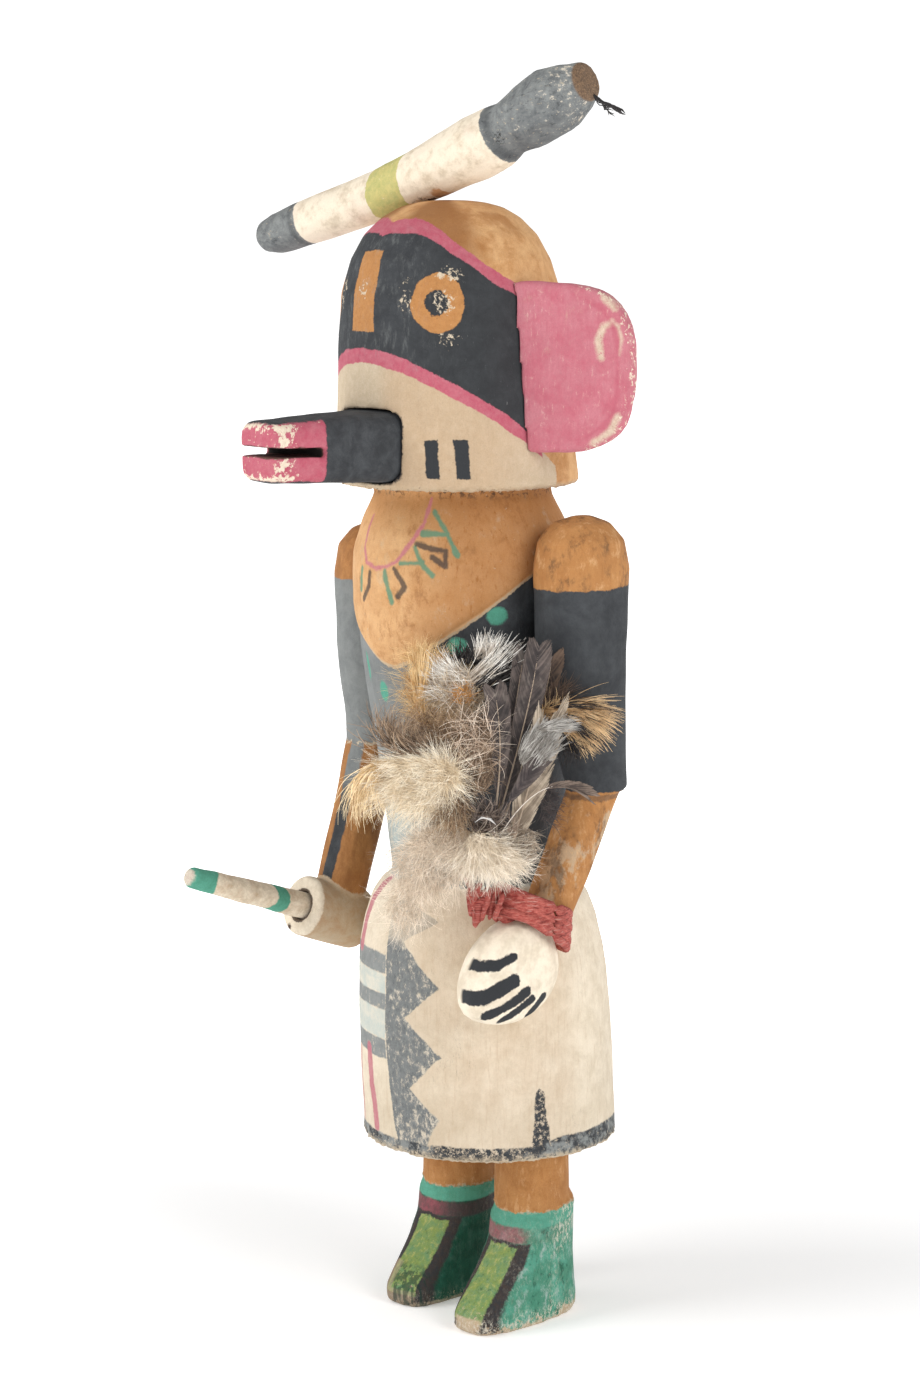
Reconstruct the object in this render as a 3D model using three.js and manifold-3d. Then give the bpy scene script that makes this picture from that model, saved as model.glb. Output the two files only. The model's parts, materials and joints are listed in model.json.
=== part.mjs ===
// A carved and painted wooden kachina doll, standing, in millimetres with +Z up.
// The figure faces -Y, and +X is the figure's own left. Everything is modelled about the
// figure's upright axis, which stands between the boots, and the whole is moved at the end so
// that the origin lies on the floor under the middle of the overall box.
//
// One root makes the helmet mask, shoulder cape, trunk, kilt, legs and boots. The ears, snout,
// arms, crown bar and wand are carved apart and fastened on, and feathers are bound to the left
// wrist with a wrapping of red strips.
import * as THREE from "three";
import { mergeVertices } from "three/addons/utils/BufferGeometryUtils.js";
import Module from "manifold-3d";

const wasm = await Module();
wasm.setup();

// ---------- driving dimensions ----------
const GAP = 0.3; // between pieces that touch
const SIDES = 36; // round the trunk, kilt and mask

const MASK = { radius: 28.6, bottom: 201.4, shoulder: 233, top: 266.8, y: -9, power: 2.6, edge: 1 };
const MASK_TAPER = { radius: 2.4, y: -1.8 }; // over its upright part
const LEAN = { base: 1.4, from: 43, slope: -0.055 }; // the trunk's axis leans forward as it rises
const HEM = 42.8;
const CAPE = { proud: 1.1, tip: 157.6, slope: 17.6, round: 0.15, turn: 6, top: 200 };

const LEG = { radius: 9, boot: 27.5 };
const FEET = [
  { x: 13.8, y: 3, turn: 8 },
  { x: -13.6, y: 3.2, turn: 12 },
];
const BOOT = { shaft: 9.8, heel: 9.9, toe: 24.2, heelHalf: 9.2, toeHalf: 6.4, toeHigh: 5.4 };
const INSTEP = { top: 19, rake: 3 };

const EAR = { out: 23.2, high: 38.6, thick: 4.6, edge: 0.8, z: 229.2, sweep: 29, power: 3.1, inset: 6 };
const SNOUT = { tip: -66.8, root: -28, low: 202.6, high: 219.6, tipLow: 204.2, tipHigh: 217.8 };
const SNOUT_HALF = { root: 11.6, tip: 7.2 };
const MOUTH = { deep: 10.4, skew: 15, gap: 2.1, z: 210.9, rise: 1.2 };

const BAR = { right: [-60.4, -20.4, 257.6], crown: [-6.7, -12, 273], left: [40, -4.6, 293.2] };
const WAND = { radius: 3.4, tip: 2.6, tilt: 19, out: 44.9, back: 7 };
const FIST = { radius: 7.5, length: 19, x: -34, y: -21.1, z: 94 };
const SLEEVE = { x: 34.8, wide: 10.4, deep: 11.6 };
const SHOULDER = { left: { y: -1, top: 195.4 }, right: { y: -4.6, top: 189.4 } };

// ---------- solids ----------
const radians = THREE.MathUtils.degToRad;
const mix = THREE.MathUtils.lerp;
const at = (x, y, z) => new THREE.Vector3(x, y, z);

// A closed three.js geometry as a manifold-3d solid, and back.
function solid(geometry) {
  const bare = geometry.clone();
  for (const name of ["normal", "uv"]) bare.deleteAttribute(name);
  const merged = mergeVertices(bare, 1e-4);
  const vertProperties = merged.attributes.position.array;
  const triVerts = new Uint32Array(merged.index.array);
  return new wasm.Manifold(new wasm.Mesh({ numProp: 3, vertProperties, triVerts }));
}

function geometryOf(body) {
  const { vertProperties, triVerts } = body.getMesh();
  const geometry = new THREE.BufferGeometry();
  geometry.setAttribute("position", new THREE.BufferAttribute(vertProperties, 3));
  geometry.setIndex(new THREE.BufferAttribute(triVerts, 1));
  geometry.computeVertexNormals();
  return geometry;
}

// Rings of equal count, stacked, become one solid: bands between neighbours and a fan at each end.
function skin(rings) {
  const sides = rings[0].length;
  const points = rings.flat();
  const faces = [];
  for (let ring = 0; ring + 1 < rings.length; ring++) {
    for (let side = 0; side < sides; side++) {
      const a = ring * sides + side;
      const b = ring * sides + ((side + 1) % sides);
      faces.push(a, b, b + sides, a, b + sides, a + sides);
    }
  }
  for (const end of [0, rings.length - 1]) {
    const centre = new THREE.Vector3();
    for (const point of rings[end]) centre.addScaledVector(point, 1 / sides);
    points.push(centre);
    for (let side = 0; side < sides; side++) {
      const a = end * sides + side;
      const b = end * sides + ((side + 1) % sides);
      faces.push(...(end ? [a, b] : [b, a]), points.length - 1);
    }
  }
  const geometry = new THREE.BufferGeometry().setFromPoints(points);
  return solid(geometry.setIndex(faces));
}

// Points round an oval; power 2 is an ellipse and a higher power is squarer.
function oval(halfU, halfV, power, sides, place) {
  const bend = (value) => Math.sign(value) * Math.abs(value) ** (2 / power);
  return Array.from({ length: sides }, (_, side) => {
    const angle = (2 * Math.PI * side) / sides;
    return place(halfU * bend(Math.cos(angle)), halfV * bend(Math.sin(angle)), angle);
  });
}

// A bar of changing oval section along a line. Each station is [centre, half across, half deep].
function limb(stations, { sides = 20, across = at(1, 0, 0), power = 2, steps = 1, grow = 0 } = {}) {
  const centres = stations.map(([centre]) => centre.clone());
  const reach = (end, beyond) => {
    const outward = centres.at(end).clone().sub(centres.at(beyond)).setLength(grow);
    centres.at(end).add(outward);
  };
  if (grow) {
    reach(0, 1);
    reach(-1, -2);
  }
  const path = new THREE.CatmullRomCurve3(centres, false, "centripetal");
  const girth = stations.map(([, u, v]) => at(u + grow, v + grow, 0));
  const sizes = new THREE.CatmullRomCurve3(girth, false, "centripetal");
  const count = (stations.length - 1) * steps;
  const rings = Array.from({ length: count + 1 }, (_, step) => {
    const along = step / count;
    const centre = path.getPoint(along);
    const size = sizes.getPoint(along);
    const forward = path.getTangent(along);
    const right = across.clone().addScaledVector(forward, -across.dot(forward)).normalize();
    const up = forward.clone().cross(right);
    const place = (u, v) => centre.clone().addScaledVector(right, u).addScaledVector(up, v);
    return oval(size.x, size.y, power, sides, place);
  });
  return skin(rings);
}

const leanAt = (z) => LEAN.base + LEAN.slope * (z - LEAN.from);

// Level rings up a profile of [radius, z], centred on the leaning axis.
function turned(profile, count, grow = 0) {
  const curve = curveOf(profile);
  const rings = Array.from({ length: count + 1 }, (_, step) => {
    const { x: radius, y: z } = curve.getPoint(step / count);
    return oval(radius + grow, radius + grow, 2, SIDES, (u, v) => at(u, v + leanAt(z), z));
  });
  return skin(rings);
}

// ---------- the carved root ----------
const TRUNK_PROFILE = [
  [20.2, 96],
  [20.7, 108],
  [21.6, 122],
  [23.2, 140],
  [25, 156],
  [26, 170],
  [25.4, 184],
  [23, 193],
  [20.6, 199],
  [20.2, 204],
];
const KILT_PROFILE = [
  [30.5, HEM],
  [30.5, 60],
  [30.2, 78],
  [29.2, 90],
  [26.6, 100.5],
  [22.4, 106.6],
  [17.6, 108.6],
];

const flat = ([radius, z]) => new THREE.Vector2(radius, z);
const curveOf = (profile) => new THREE.SplineCurve(profile.map(flat));
const trunkPoints = curveOf(TRUNK_PROFILE).getPoints(60);

function trunkRadius(z) {
  const next = trunkPoints.findIndex((point) => point.y >= z);
  const [low, high] = [trunkPoints[Math.max(next - 1, 0)], trunkPoints[Math.max(next, 1)]];
  return mix(low.x, high.x, (z - low.y) / (high.y - low.y));
}

// The helmet mask: upright sides with a softened lower edge, and a full dome.
function mask(grow = 0) {
  const { radius, bottom, shoulder, top, y, power, edge } = MASK;
  const ring = (half, z) => {
    const rise = Math.min(1, (z - bottom) / (shoulder - bottom));
    return oval(half, half, 2, SIDES, (u, v) => at(u, v + y + MASK_TAPER.y * rise, z));
  };
  const rings = [ring(radius - edge + grow, bottom - grow), ring(radius + grow, bottom + edge - grow)];
  const courses = 9;
  for (let course = 0; course < courses; course++) {
    const angle = Math.sin((course / courses) * (Math.PI / 2)) * (Math.PI / 2);
    const half = (radius - MASK_TAPER.radius + grow) * Math.cos(angle) ** (2 / power);
    rings.push(ring(half, shoulder + (top + grow - shoulder) * Math.sin(angle) ** (2 / power)));
  }
  return skin(rings);
}

// The cape's lower edge hangs to a rounded point in front and behind, and rises over the arms.
function capeEdge(angle) {
  const fromPoint = Math.asin(Math.abs(Math.cos(angle - radians(CAPE.turn))));
  return CAPE.tip + CAPE.slope * Math.hypot(fromPoint, CAPE.round);
}

function cape(grow = 0) {
  const ring = (share, swell) =>
    oval(1, 1, 2, SIDES, (u, v, angle) => {
      const z = mix(capeEdge(angle) - grow, CAPE.top, share);
      const radius = trunkRadius(z) + swell + grow;
      return at(u * radius, v * radius + leanAt(z), z);
    });
  const courses = [0, 0.03, 0.25, 0.5, 0.75, 0.92];
  const stand = (share) => CAPE.proud * Math.min(1, 0.55 + 15 * share, 2.2 * (1.02 - share));
  const rings = courses.map((share) => ring(share, stand(share)));
  return skin([ring(0, -2 - grow), ...rings, ring(1, -1)]);
}

// One leg in its boot. The boot's top rim rises to the back, and its sole is flat.
function leg({ x, y, turn }) {
  const { shaft, heel, toe, heelHalf, toeHalf, toeHigh } = BOOT;
  const { top: instep, rake } = INSTEP;
  const shin = new THREE.CylinderGeometry(LEG.radius, LEG.radius, HEM + 4, 20).rotateX(Math.PI / 2);
  const course = ([z, back, front, half, power]) =>
    oval(half, (back + front) / 2, power, 20, (u, v) => {
      const lift = z > instep ? (v / back) * rake : 0;
      return at(u, v + (back - front) / 2, z + lift);
    });
  const toeTaper = (rings) =>
    rings.map((ring) =>
      ring.map((point) => {
        const forward = Math.max(0, -point.y - 6) / (toe - 6);
        return at(point.x * mix(1, toeHalf / heelHalf, forward), point.y, point.z);
      }),
    );
  const boot = skin(
    toeTaper(
      [
        [0, heel - 0.8, toe - 1.2, heelHalf - 0.6, 4],
        [1.2, heel, toe, heelHalf, 4],
        [toeHigh - 1, heel, toe, heelHalf, 4],
        [toeHigh + 1.4, heel, toe - 2.2, heelHalf, 3.6],
        [instep - 6, heel, shaft + 5.4, heelHalf, 3],
        [instep, heel, shaft + 0.6, heelHalf, 2.6],
        [LEG.boot - 1, heel, shaft - 0.2, shaft, 2.2],
        [LEG.boot, heel - 0.8, shaft - 1, shaft - 0.8, 2.2],
      ].map(course),
    ),
  );
  return solid(shin).translate([0, 0, HEM / 2 + 4]).add(boot).rotate([0, 0, turn]).translate([x, y, 0]);
}

function root() {
  const body = mask().add(turned(TRUNK_PROFILE, 14)).add(cape()).add(turned(KILT_PROFILE, 10));
  return body.add(leg(FEET[0])).add(leg(FEET[1])).subtract(bar(GAP)).subtract(snout(GAP));
}

// ---------- pieces fastened to the head ----------
function ear(side) {
  const { out, high, thick, edge, z, sweep, power, inset } = EAR;
  const outline = new THREE.Shape();
  const courses = 18;
  outline.moveTo(-inset, -high / 2);
  for (let course = 0; course <= courses; course++) {
    const angle = mix(-Math.PI / 2, Math.PI / 2, course / courses);
    const rise = Math.sign(angle) * Math.abs(Math.sin(angle)) ** (2 / power);
    outline.lineTo(out * Math.abs(Math.cos(angle)) ** (2 / power), (rise * high) / 2);
  }
  outline.lineTo(-inset, high / 2);
  const rim = { bevelThickness: edge, bevelSize: edge, bevelOffset: -edge, bevelSegments: 1 };
  const slab = new THREE.ExtrudeGeometry(outline, { depth: thick - 2 * edge, ...rim });
  slab.translate(0, 0, edge - thick / 2);
  slab.rotateX(Math.PI / 2).rotateZ(radians(sweep)).translate(MASK.radius, MASK.y, z);
  const left = solid(slab).subtract(mask(GAP));
  return side < 0 ? left.mirror([1, 0, 0]) : left;
}

// A squared snout, let into the mask, with a sawn mouth across its front. The saw ran a little
// deeper on the figure's left.
function snout(grow = 0) {
  const station = (share) => {
    const low = mix(SNOUT.low, SNOUT.tipLow, share);
    const high = mix(SNOUT.high, SNOUT.tipHigh, share);
    const centre = at(0, mix(SNOUT.root, SNOUT.tip, share), (low + high) / 2);
    return [centre, mix(SNOUT_HALF.root, SNOUT_HALF.tip, share), (high - low) / 2];
  };
  const stations = [0, 0.5, 0.96].map(station);
  const [tip, half, deep] = station(1);
  stations.push([tip, half - 0.9, deep - 0.9]);
  const block = limb(stations, { sides: 28, power: 5, grow });
  if (grow) return block;
  const cut = new THREE.BoxGeometry(60, 40, MOUTH.gap);
  cut.translate(0, -20, 0).rotateX(-radians(MOUTH.rise)).rotateZ(radians(MOUTH.skew));
  cut.translate(0, SNOUT.tip + MOUTH.deep, MOUTH.z);
  return block.subtract(solid(cut));
}

// The bar laid across the crown: a natural stick, thin at the figure's right end, bent upward,
// and whittled at its left end to a neck and a blunt club. Shares run from the right end.
const BAR_GIRTH = [
  [0, 2.2],
  [0.015, 3.9],
  [0.05, 4.9],
  [0.13, 5.4],
  [0.3, 5.8],
  [0.42, 6.1],
  [0.52, 6.7],
  [0.65, 7.5],
  [0.71, 7.3],
  [0.755, 6.4],
  [0.815, 7.8],
  [0.9, 8.1],
  [0.955, 6.6],
  [1, 4.2],
];
const barEnds = [at(...BAR.right), at(...BAR.left)];
const barBend = at(...BAR.crown).multiplyScalar(2);
barEnds.forEach((end) => barBend.addScaledVector(end, -0.5));
const barLine = new THREE.QuadraticBezierCurve3(barEnds[0], barBend, barEnds[1]);

function bar(grow = 0) {
  const stations = BAR_GIRTH.map(([share, radius]) => [barLine.getPoint(share), radius, radius]);
  return limb(stations, { sides: 16, across: at(0, 1, 0), grow });
}

// A wisp of dark thread left in the bar's end.
function wisp() {
  const start = barLine.getPoint(1).add(at(0.5, 0, -3));
  const stations = [0, 0.4, 1].map((share) => [
    start.clone().add(at(7 * share, 3 * share, -4.2 * share ** 0.8)),
    mix(0.6, 0.25, share),
    mix(0.6, 0.25, share),
  ]);
  return limb(stations, { sides: 5, across: at(0, 1, 0), steps: 2 }).subtract(bar(GAP));
}

// ---------- arms ----------
const LEFT = { elbow: at(34.6, 4.4, 131), wrist: at(34, -8.2, 104), hand: at(34, -21.8, 92.1) };
const RIGHT = { elbow: at(-34.6, -6, 135), wrist: at(-34, -18.6, 98) };
const HAND = { deep: 12.6, high: 11.9, thick: 6.2 };

// A rounded shoulder and upper arm, narrowing to where the forearm bends forward.
function sleeve(side, { y, top }, elbow) {
  const { x, wide, deep } = SLEEVE;
  const place = (z) => at(side * x, y, z);
  return limb(
    [
      [place(top), 2, 2.4],
      [place(top - 1.6), wide * 0.6, deep * 0.6],
      [place(top - 5.5), wide * 0.9, deep * 0.9],
      [place(top - 12), wide, deep],
      [place(top - 30), wide * 0.97, deep * 0.95],
      [place(top - 30).lerp(elbow, 0.6), wide * 0.8, deep * 0.74],
      [elbow, 7, 7.2],
    ],
  );
}

const shoulders = () => turned(TRUNK_PROFILE, 14, GAP).add(cape(GAP));

const forearm = (from, to, radius) =>
  limb(
    [
      [from.clone().add(at(0, 0, 3)), radius + 0.4, radius + 0.5],
      [from.clone().lerp(to, 0.5), radius + 0.3, radius + 0.3],
      [to, radius, radius],
    ],
    { sides: 12, power: 2.4 },
  );

// The open hand is a flat, egg-shaped paddle, broad at the finger end.
function hand(grow = 0) {
  const { deep, high, thick } = HAND;
  const slices = [
    [-1, 0.62],
    [-0.78, 0.88],
    [-0.4, 1],
    [0.4, 1],
    [0.78, 0.88],
    [1, 0.62],
  ];
  const rings = slices.map(([across, share]) =>
    oval(deep * share + grow, high * share + grow, 2.1, 22, (u, v) => {
      const upper = v / high;
      return at(across * (thick + grow), u * (1 - 0.2 * upper) + 2.6 * upper, v);
    }),
  );
  return skin(rings).translate(LEFT.hand.toArray());
}

function lowerLeft(grow = 0) {
  return forearm(LEFT.elbow, LEFT.wrist.clone().lerp(LEFT.hand, 0.35), 5.4 + grow).add(hand(grow));
}

const leftArm = () => sleeve(1, SHOULDER.left, LEFT.elbow).add(lowerLeft()).subtract(shoulders());

// The wand's line through the fist: forward and a little up.
const fistCentre = at(FIST.x, FIST.y, FIST.z);
const wandPoint = (distance) => {
  const tilt = radians(WAND.tilt);
  return fistCentre.clone().add(at(0, -Math.cos(tilt), Math.sin(tilt)).multiplyScalar(distance));
};

function wand(grow = 0) {
  const stations = [
    [-WAND.back, WAND.radius - 0.2],
    [0, WAND.radius],
    [WAND.out * 0.6, mix(WAND.radius, WAND.tip, 0.4)],
    [WAND.out - 1.2, WAND.tip],
    [WAND.out, WAND.tip - 0.9],
  ];
  const placed = stations.map(([distance, radius]) => [wandPoint(distance), radius, radius]);
  return limb(placed, { sides: 12, grow });
}

// The closed hand is a short barrel bored for the wand.
function rightArm() {
  const half = FIST.length / 2;
  const girth = [
    [-half, FIST.radius - 1.6],
    [1.6 - half, FIST.radius],
    [half - 0.8, FIST.radius],
    [half, FIST.radius - 0.7],
  ];
  const fist = limb(girth.map(([distance, radius]) => [wandPoint(distance), radius, radius]), { sides: 22 });
  const arm = sleeve(-1, SHOULDER.right, RIGHT.elbow).add(forearm(RIGHT.elbow, RIGHT.wrist, 5.9));
  return arm.add(fist).subtract(wand(GAP)).subtract(shoulders());
}

// ---------- the bundle at the left wrist ----------
// The bundle is laid out on an upright sheet facing forward and to the figure's left: `along` runs
// level across the sheet, and `out` points away from the figure.
const SHEET = 50; // degrees from straight ahead
const along = at(Math.cos(radians(SHEET)), Math.sin(radians(SHEET)), 0);
const out = at(Math.sin(radians(SHEET)), -Math.cos(radians(SHEET)), 0);
const TIE = at(34, -28.4, 110.6); // where the quills meet the wrapping
const SPREAD = { at: 16, drift: 1.6, layer: 1.15, quill: 0.42 };
const onSheet = (across, up, depth) => {
  const point = TIE.clone().addScaledVector(along, across).addScaledVector(out, depth);
  return point.setZ(TIE.z + up);
};

// Feathers from the figure outward. Lean is degrees from upright, positive to the figure's left.
// Bow bends the blade to that side, as a share of its length.
const FEATHERS = [
  { name: "ochre_feather", lean: -21, length: 39, width: 8, bow: -0.06 },
  { name: "barred_feather", lean: 9, length: 41, width: 8, bow: -0.3 },
  { name: "brown_feather", lean: 24, length: 40, width: 6.4, bow: 0.04 },
  { name: "golden_feather", lean: 50, length: 37, width: 8.4, bow: -0.2 },
  { name: "tall_dark_feather", lean: 15, length: 42, width: 8.6, bow: -0.05 },
  { name: "curled_brown_feather", lean: -44, length: 35, width: 6.4, bow: -0.24 },
  { name: "short_dark_feather", lean: 5, length: 30, width: 6, bow: -0.06 },
  { name: "grey_feather", lean: 40, length: 30, width: 7.4, bow: -0.1 },
  { name: "cream_feather", lean: -74, length: 32, width: 12, bow: 0.1 },
  { name: "thin_feather", lean: 73, length: 23, width: 2.6, bow: 0.1 },
  { name: "hanging_down_feather", lean: -134, length: 26, width: 12, bow: 0.1 },
  { name: "wrist_down_feather", lean: 152, length: 17, width: 10, bow: -0.06 },
];

function feather({ lean, length, width, bow }, place) {
  const layer = (place - (FEATHERS.length - 1) / 2) * SPREAD.layer;
  const fork = { across: SPREAD.drift, up: SPREAD.at };
  const tilt = radians(lean);
  const point = (share) => {
    const side = bow * length * 4 * share * (1 - share);
    const across = fork.across + length * share * Math.sin(tilt) + side * Math.cos(tilt);
    const up = fork.up + length * share * Math.cos(tilt) - side * Math.sin(tilt);
    return onSheet(across, up, layer);
  };
  const thin = SPREAD.quill * 0.8;
  const vane = [
    [0.06, 0.12],
    [0.22, 0.36],
    [0.45, 0.5],
    [0.72, 0.46],
    [0.9, 0.28],
    [1, 0.04],
  ].map(([share, half]) => [point(share), thin, Math.max(half * width, 0.2)]);
  const hangs = Math.abs(lean) > 90;
  const quill = hangs ? [] : [[onSheet(0, 0.1, layer * 0.8), SPREAD.quill, SPREAD.quill]];
  return limb([...quill, ...vane], { sides: 6, across: out });
}

// Strips wound round the wrist and knotted in front, where they hold the quills.
const HOOPS = [
  { z: 105.4, y: -13.6, wide: 6.4, deep: 8.8, tilt: -16 },
  { z: 102.9, y: -14.2, wide: 6.9, deep: 9.6, tilt: -22 },
  { z: 100.3, y: -14.8, wide: 7.3, deep: 10.2, tilt: -27 },
];
const STRIP = 1.5; // half the thickness of a wound strip

function wrapping() {
  const hoop = ({ z, y, wide, deep, tilt }) => {
    const ring = new THREE.TorusGeometry(1, STRIP / 8, 4, 18).scale(wide, deep, 8);
    return solid(ring.rotateX(radians(tilt)).translate(TIE.x, y, z));
  };
  const knot = limb(
    [
      [onSheet(-1.6, -13, -0.5), 1.2, 1],
      [onSheet(-0.8, -9, 0), 3.6, 2.6],
      [onSheet(-0.2, -4, 0), 4.6, 3.4],
      [onSheet(-0.4, -0.4, 0), 3.6, 2.6],
    ],
    { sides: 9, across: out },
  );
  const strand = limb(
    [
      [onSheet(0, -5, 0), 2.4, 2.4],
      [at(TIE.x, HOOPS[1].y - HOOPS[1].deep + 1, HOOPS[1].z + 3), 1.6, 2.4],
    ],
    { sides: 7, across: at(0, 0, 1) },
  );
  const band = HOOPS.map(hoop).reduce((sum, ring) => sum.add(ring));
  return band.add(knot).add(strand).subtract(lowerLeft(GAP));
}

// ---------- the doll ----------
const FINISHES = {
  root: { color: 0xc08a4e, roughness: 0.85 },
  sleeve: { color: 0x4a4e54, roughness: 0.8 },
  ear: { color: 0xc4707e, roughness: 0.85 },
  snout: { color: 0x484c50, roughness: 0.8 },
  bar: { color: 0xe6dac6, roughness: 0.85 },
  wand: { color: 0xd2c0a4, roughness: 0.85 },
  thread: { color: 0x241f1c, roughness: 0.9 },
  wrap: { color: 0xc85a50, roughness: 0.95 },
  feather: { color: 0x9a8266, roughness: 0.9 },
};

function piece(name, finish, body) {
  const material = new THREE.MeshStandardMaterial({ ...FINISHES[finish], metalness: 0 });
  const mesh = new THREE.Mesh(geometryOf(body), material);
  mesh.name = name;
  return mesh;
}

const doll = new THREE.Group();
doll.add(
  piece("figure", "root", root()),
  piece("left_ear", "ear", ear(1)),
  piece("right_ear", "ear", ear(-1)),
  piece("snout", "snout", snout()),
  piece("crown_bar", "bar", bar()),
  piece("thread_wisp", "thread", wisp()),
  piece("left_arm", "sleeve", leftArm()),
  piece("right_arm", "sleeve", rightArm()),
  piece("wand", "wand", wand()),
  piece("wrist_wrap", "wrap", wrapping()),
  ...FEATHERS.map((sizes, place) => piece(sizes.name, "feather", feather(sizes, place))),
);

const box = new THREE.Box3().setFromObject(doll);
const middle = box.getCenter(new THREE.Vector3());
doll.position.set(-middle.x, -middle.y, -box.min.z);

export default doll;
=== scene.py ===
"""The finish of a carved and painted wooden kachina doll, built round its solids.

The doll faces -Y and stands on z = 0. Painted patterns are laid out in millimetres about its
upright axis, which stands midway between the two soles.
"""

import json
import math
import random

import bpy
import numpy as np
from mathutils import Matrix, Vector, noise


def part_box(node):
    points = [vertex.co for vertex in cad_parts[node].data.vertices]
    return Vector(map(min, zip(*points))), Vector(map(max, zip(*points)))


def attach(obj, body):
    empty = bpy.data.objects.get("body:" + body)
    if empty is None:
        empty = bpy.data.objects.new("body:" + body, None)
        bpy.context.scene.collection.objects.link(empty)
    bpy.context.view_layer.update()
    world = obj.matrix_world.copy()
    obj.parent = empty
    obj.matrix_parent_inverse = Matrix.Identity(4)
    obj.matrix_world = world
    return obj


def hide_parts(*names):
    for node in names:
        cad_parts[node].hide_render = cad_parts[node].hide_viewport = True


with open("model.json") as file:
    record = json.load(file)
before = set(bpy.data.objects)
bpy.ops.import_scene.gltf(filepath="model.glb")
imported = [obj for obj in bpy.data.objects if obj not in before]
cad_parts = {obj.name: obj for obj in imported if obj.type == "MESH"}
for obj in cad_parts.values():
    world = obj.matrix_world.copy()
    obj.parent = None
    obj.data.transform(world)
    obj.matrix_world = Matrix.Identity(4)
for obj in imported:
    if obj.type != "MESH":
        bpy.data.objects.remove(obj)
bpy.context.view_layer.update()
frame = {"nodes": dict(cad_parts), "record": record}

bl_info = {
    "name": "Kachina doll",
    "version": (1, 0, 0),
    "blender": (4, 5, 0),
    "location": "View3D > Sidebar > Doll",
    "description": "Carves, paints and dresses a standing kachina doll",
    "category": "Object",
}

SOLES = [Vector(mount["pos_m"]) for mount in frame["record"]["mounts"]]
AXIS = (SOLES[0] + SOLES[1]) / 2
MM = 0.001
# How deep brush marks are, in millimetres, and the share of the fine grain on the smallest solids.
BRUSH_RELIEF = 0.25
SMALLEST = 0.8


# ---------- sizes and colours a user would change ----------


def display(red, green, blue):
    """A paint's colour from its 0-255 display values, as the linear colour shaders use."""
    shares = (red / 255, green / 255, blue / 255)
    return [s / 12.92 if s <= 0.04045 else ((s + 0.055) / 1.055) ** 2.4 for s in shares] + [1.0]


def paint_property(name, description, default):
    return bpy.props.FloatVectorProperty(
        name=name, description=description, default=default, size=4, min=0, max=1, subtype="COLOR"
    )


def length_property(name, description, default):
    return bpy.props.FloatProperty(name=name, description=description, default=default, min=0, unit="LENGTH")


class DollPaints(bpy.types.PropertyGroup):
    """The earth and mineral paints."""

    ochre: paint_property("Ochre", "Skin, cape, crown and legs", display(182, 130, 78))
    pale_ochre: paint_property("Pale ochre", "The rubbed and sunlit cape", display(212, 168, 120))
    # Deep ochre is also the painted shade on the cape's left side and on the dome above the face's upper
    # line.
    deep_ochre: paint_property("Deep ochre", "Thicker strokes in the ochre", display(158, 104, 56))
    slate: paint_property("Slate", "Face band, trunk, sleeves and snout", display(47, 49, 52))
    # Pale slate is also the painted shade under the crown bar's club.
    pale_slate: paint_property("Pale slate", "Rubbed and chalky slate", display(80, 83, 86))
    # This pale grey is also the painted light on the front of the trunk and on the right sleeve.
    chalk: paint_property("Chalky slate", "Slate paint rubbed down to the clay", display(140, 143, 141))
    white: paint_property("White clay", "Kilt, jaw, hands and crown bar", display(232, 219, 198))
    # Stained clay is also the painted shade across the kilt's front.
    stained_white: paint_property("Stained clay", "Handled and dusty white clay", display(192, 175, 149))
    rose: paint_property("Rose", "Ears and snout tip", display(190, 122, 131))
    deep_rose: paint_property("Deep rose", "Lines and thicker strokes of rose", display(176, 80, 98))
    turquoise: paint_property("Turquoise", "Boot rims, wand and body marks", display(88, 160, 138))
    green: paint_property("Green", "Boots and necklace", display(70, 134, 110))
    dark_green: paint_property("Dark green", "The right boot", display(16, 74, 56))
    leaf: paint_property("Leaf green", "Instep panels", display(130, 148, 76))
    mustard: paint_property("Mustard", "Band round the crown bar", display(196, 184, 112))
    sky: paint_property("Sky", "Pale blocks on the kilt", display(178, 190, 186))
    # Bare wood is also the painted shade on the left cheek and on the kilt's side.
    wood: paint_property("Bare wood", "Wood under chipped paint", display(176, 140, 104))
    # This dark brown is also the painted shade in the mouth slot, in the ear seams, in the fist's socket and
    # on the dome above the face's upper line.
    dirt: paint_property("Dirt", "Dirt and old glue in the joints", display(72, 54, 42))


class DollSizes(bpy.types.PropertyGroup):
    """Sizes of the carving's finish."""

    grain: length_property("Carving grain", "Spacing of the carved surface", 0.00082)
    fine_grain: length_property("Fine grain", "Spacing on the small pieces", 0.00055)
    knife: length_property("Knife marks", "How far the knife left the surface uneven", 0.00025)
    lens: bpy.props.FloatProperty(name="Lens", description="The camera's lens", default=83.9, unit="CAMERA")
    away: length_property("Camera distance", "From the doll's axis to the camera", 0.76)
    eye_height: length_property("Camera height", "Above the floor", 0.265)
    round: bpy.props.FloatProperty(
        name="Camera bearing",
        description="Turn from straight in front to the doll's left",
        default=math.radians(49.6),
        subtype="ANGLE",
    )


def paint(name):
    return tuple(getattr(bpy.context.scene.doll_paints, name))


# Near-black paints, as linear colours. The ones for the band across the face, the mouth slot and the toe
# notch are painted shade.
DARKS = {
    "face band shade": (0.02, 0.021, 0.022, 1),
    "toe notch shade": (0.01, 0.035, 0.026, 1),
    "mouth": (0.012, 0.009, 0.008, 1),
    "peg": (0.02, 0.018, 0.016, 1),
    "cuff": (0.03, 0.03, 0.032, 1),
    "thread": (0.012, 0.011, 0.012, 1),
    "worn thread": (0.05, 0.045, 0.045, 1),
}


# ---------- shader arithmetic ----------


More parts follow.
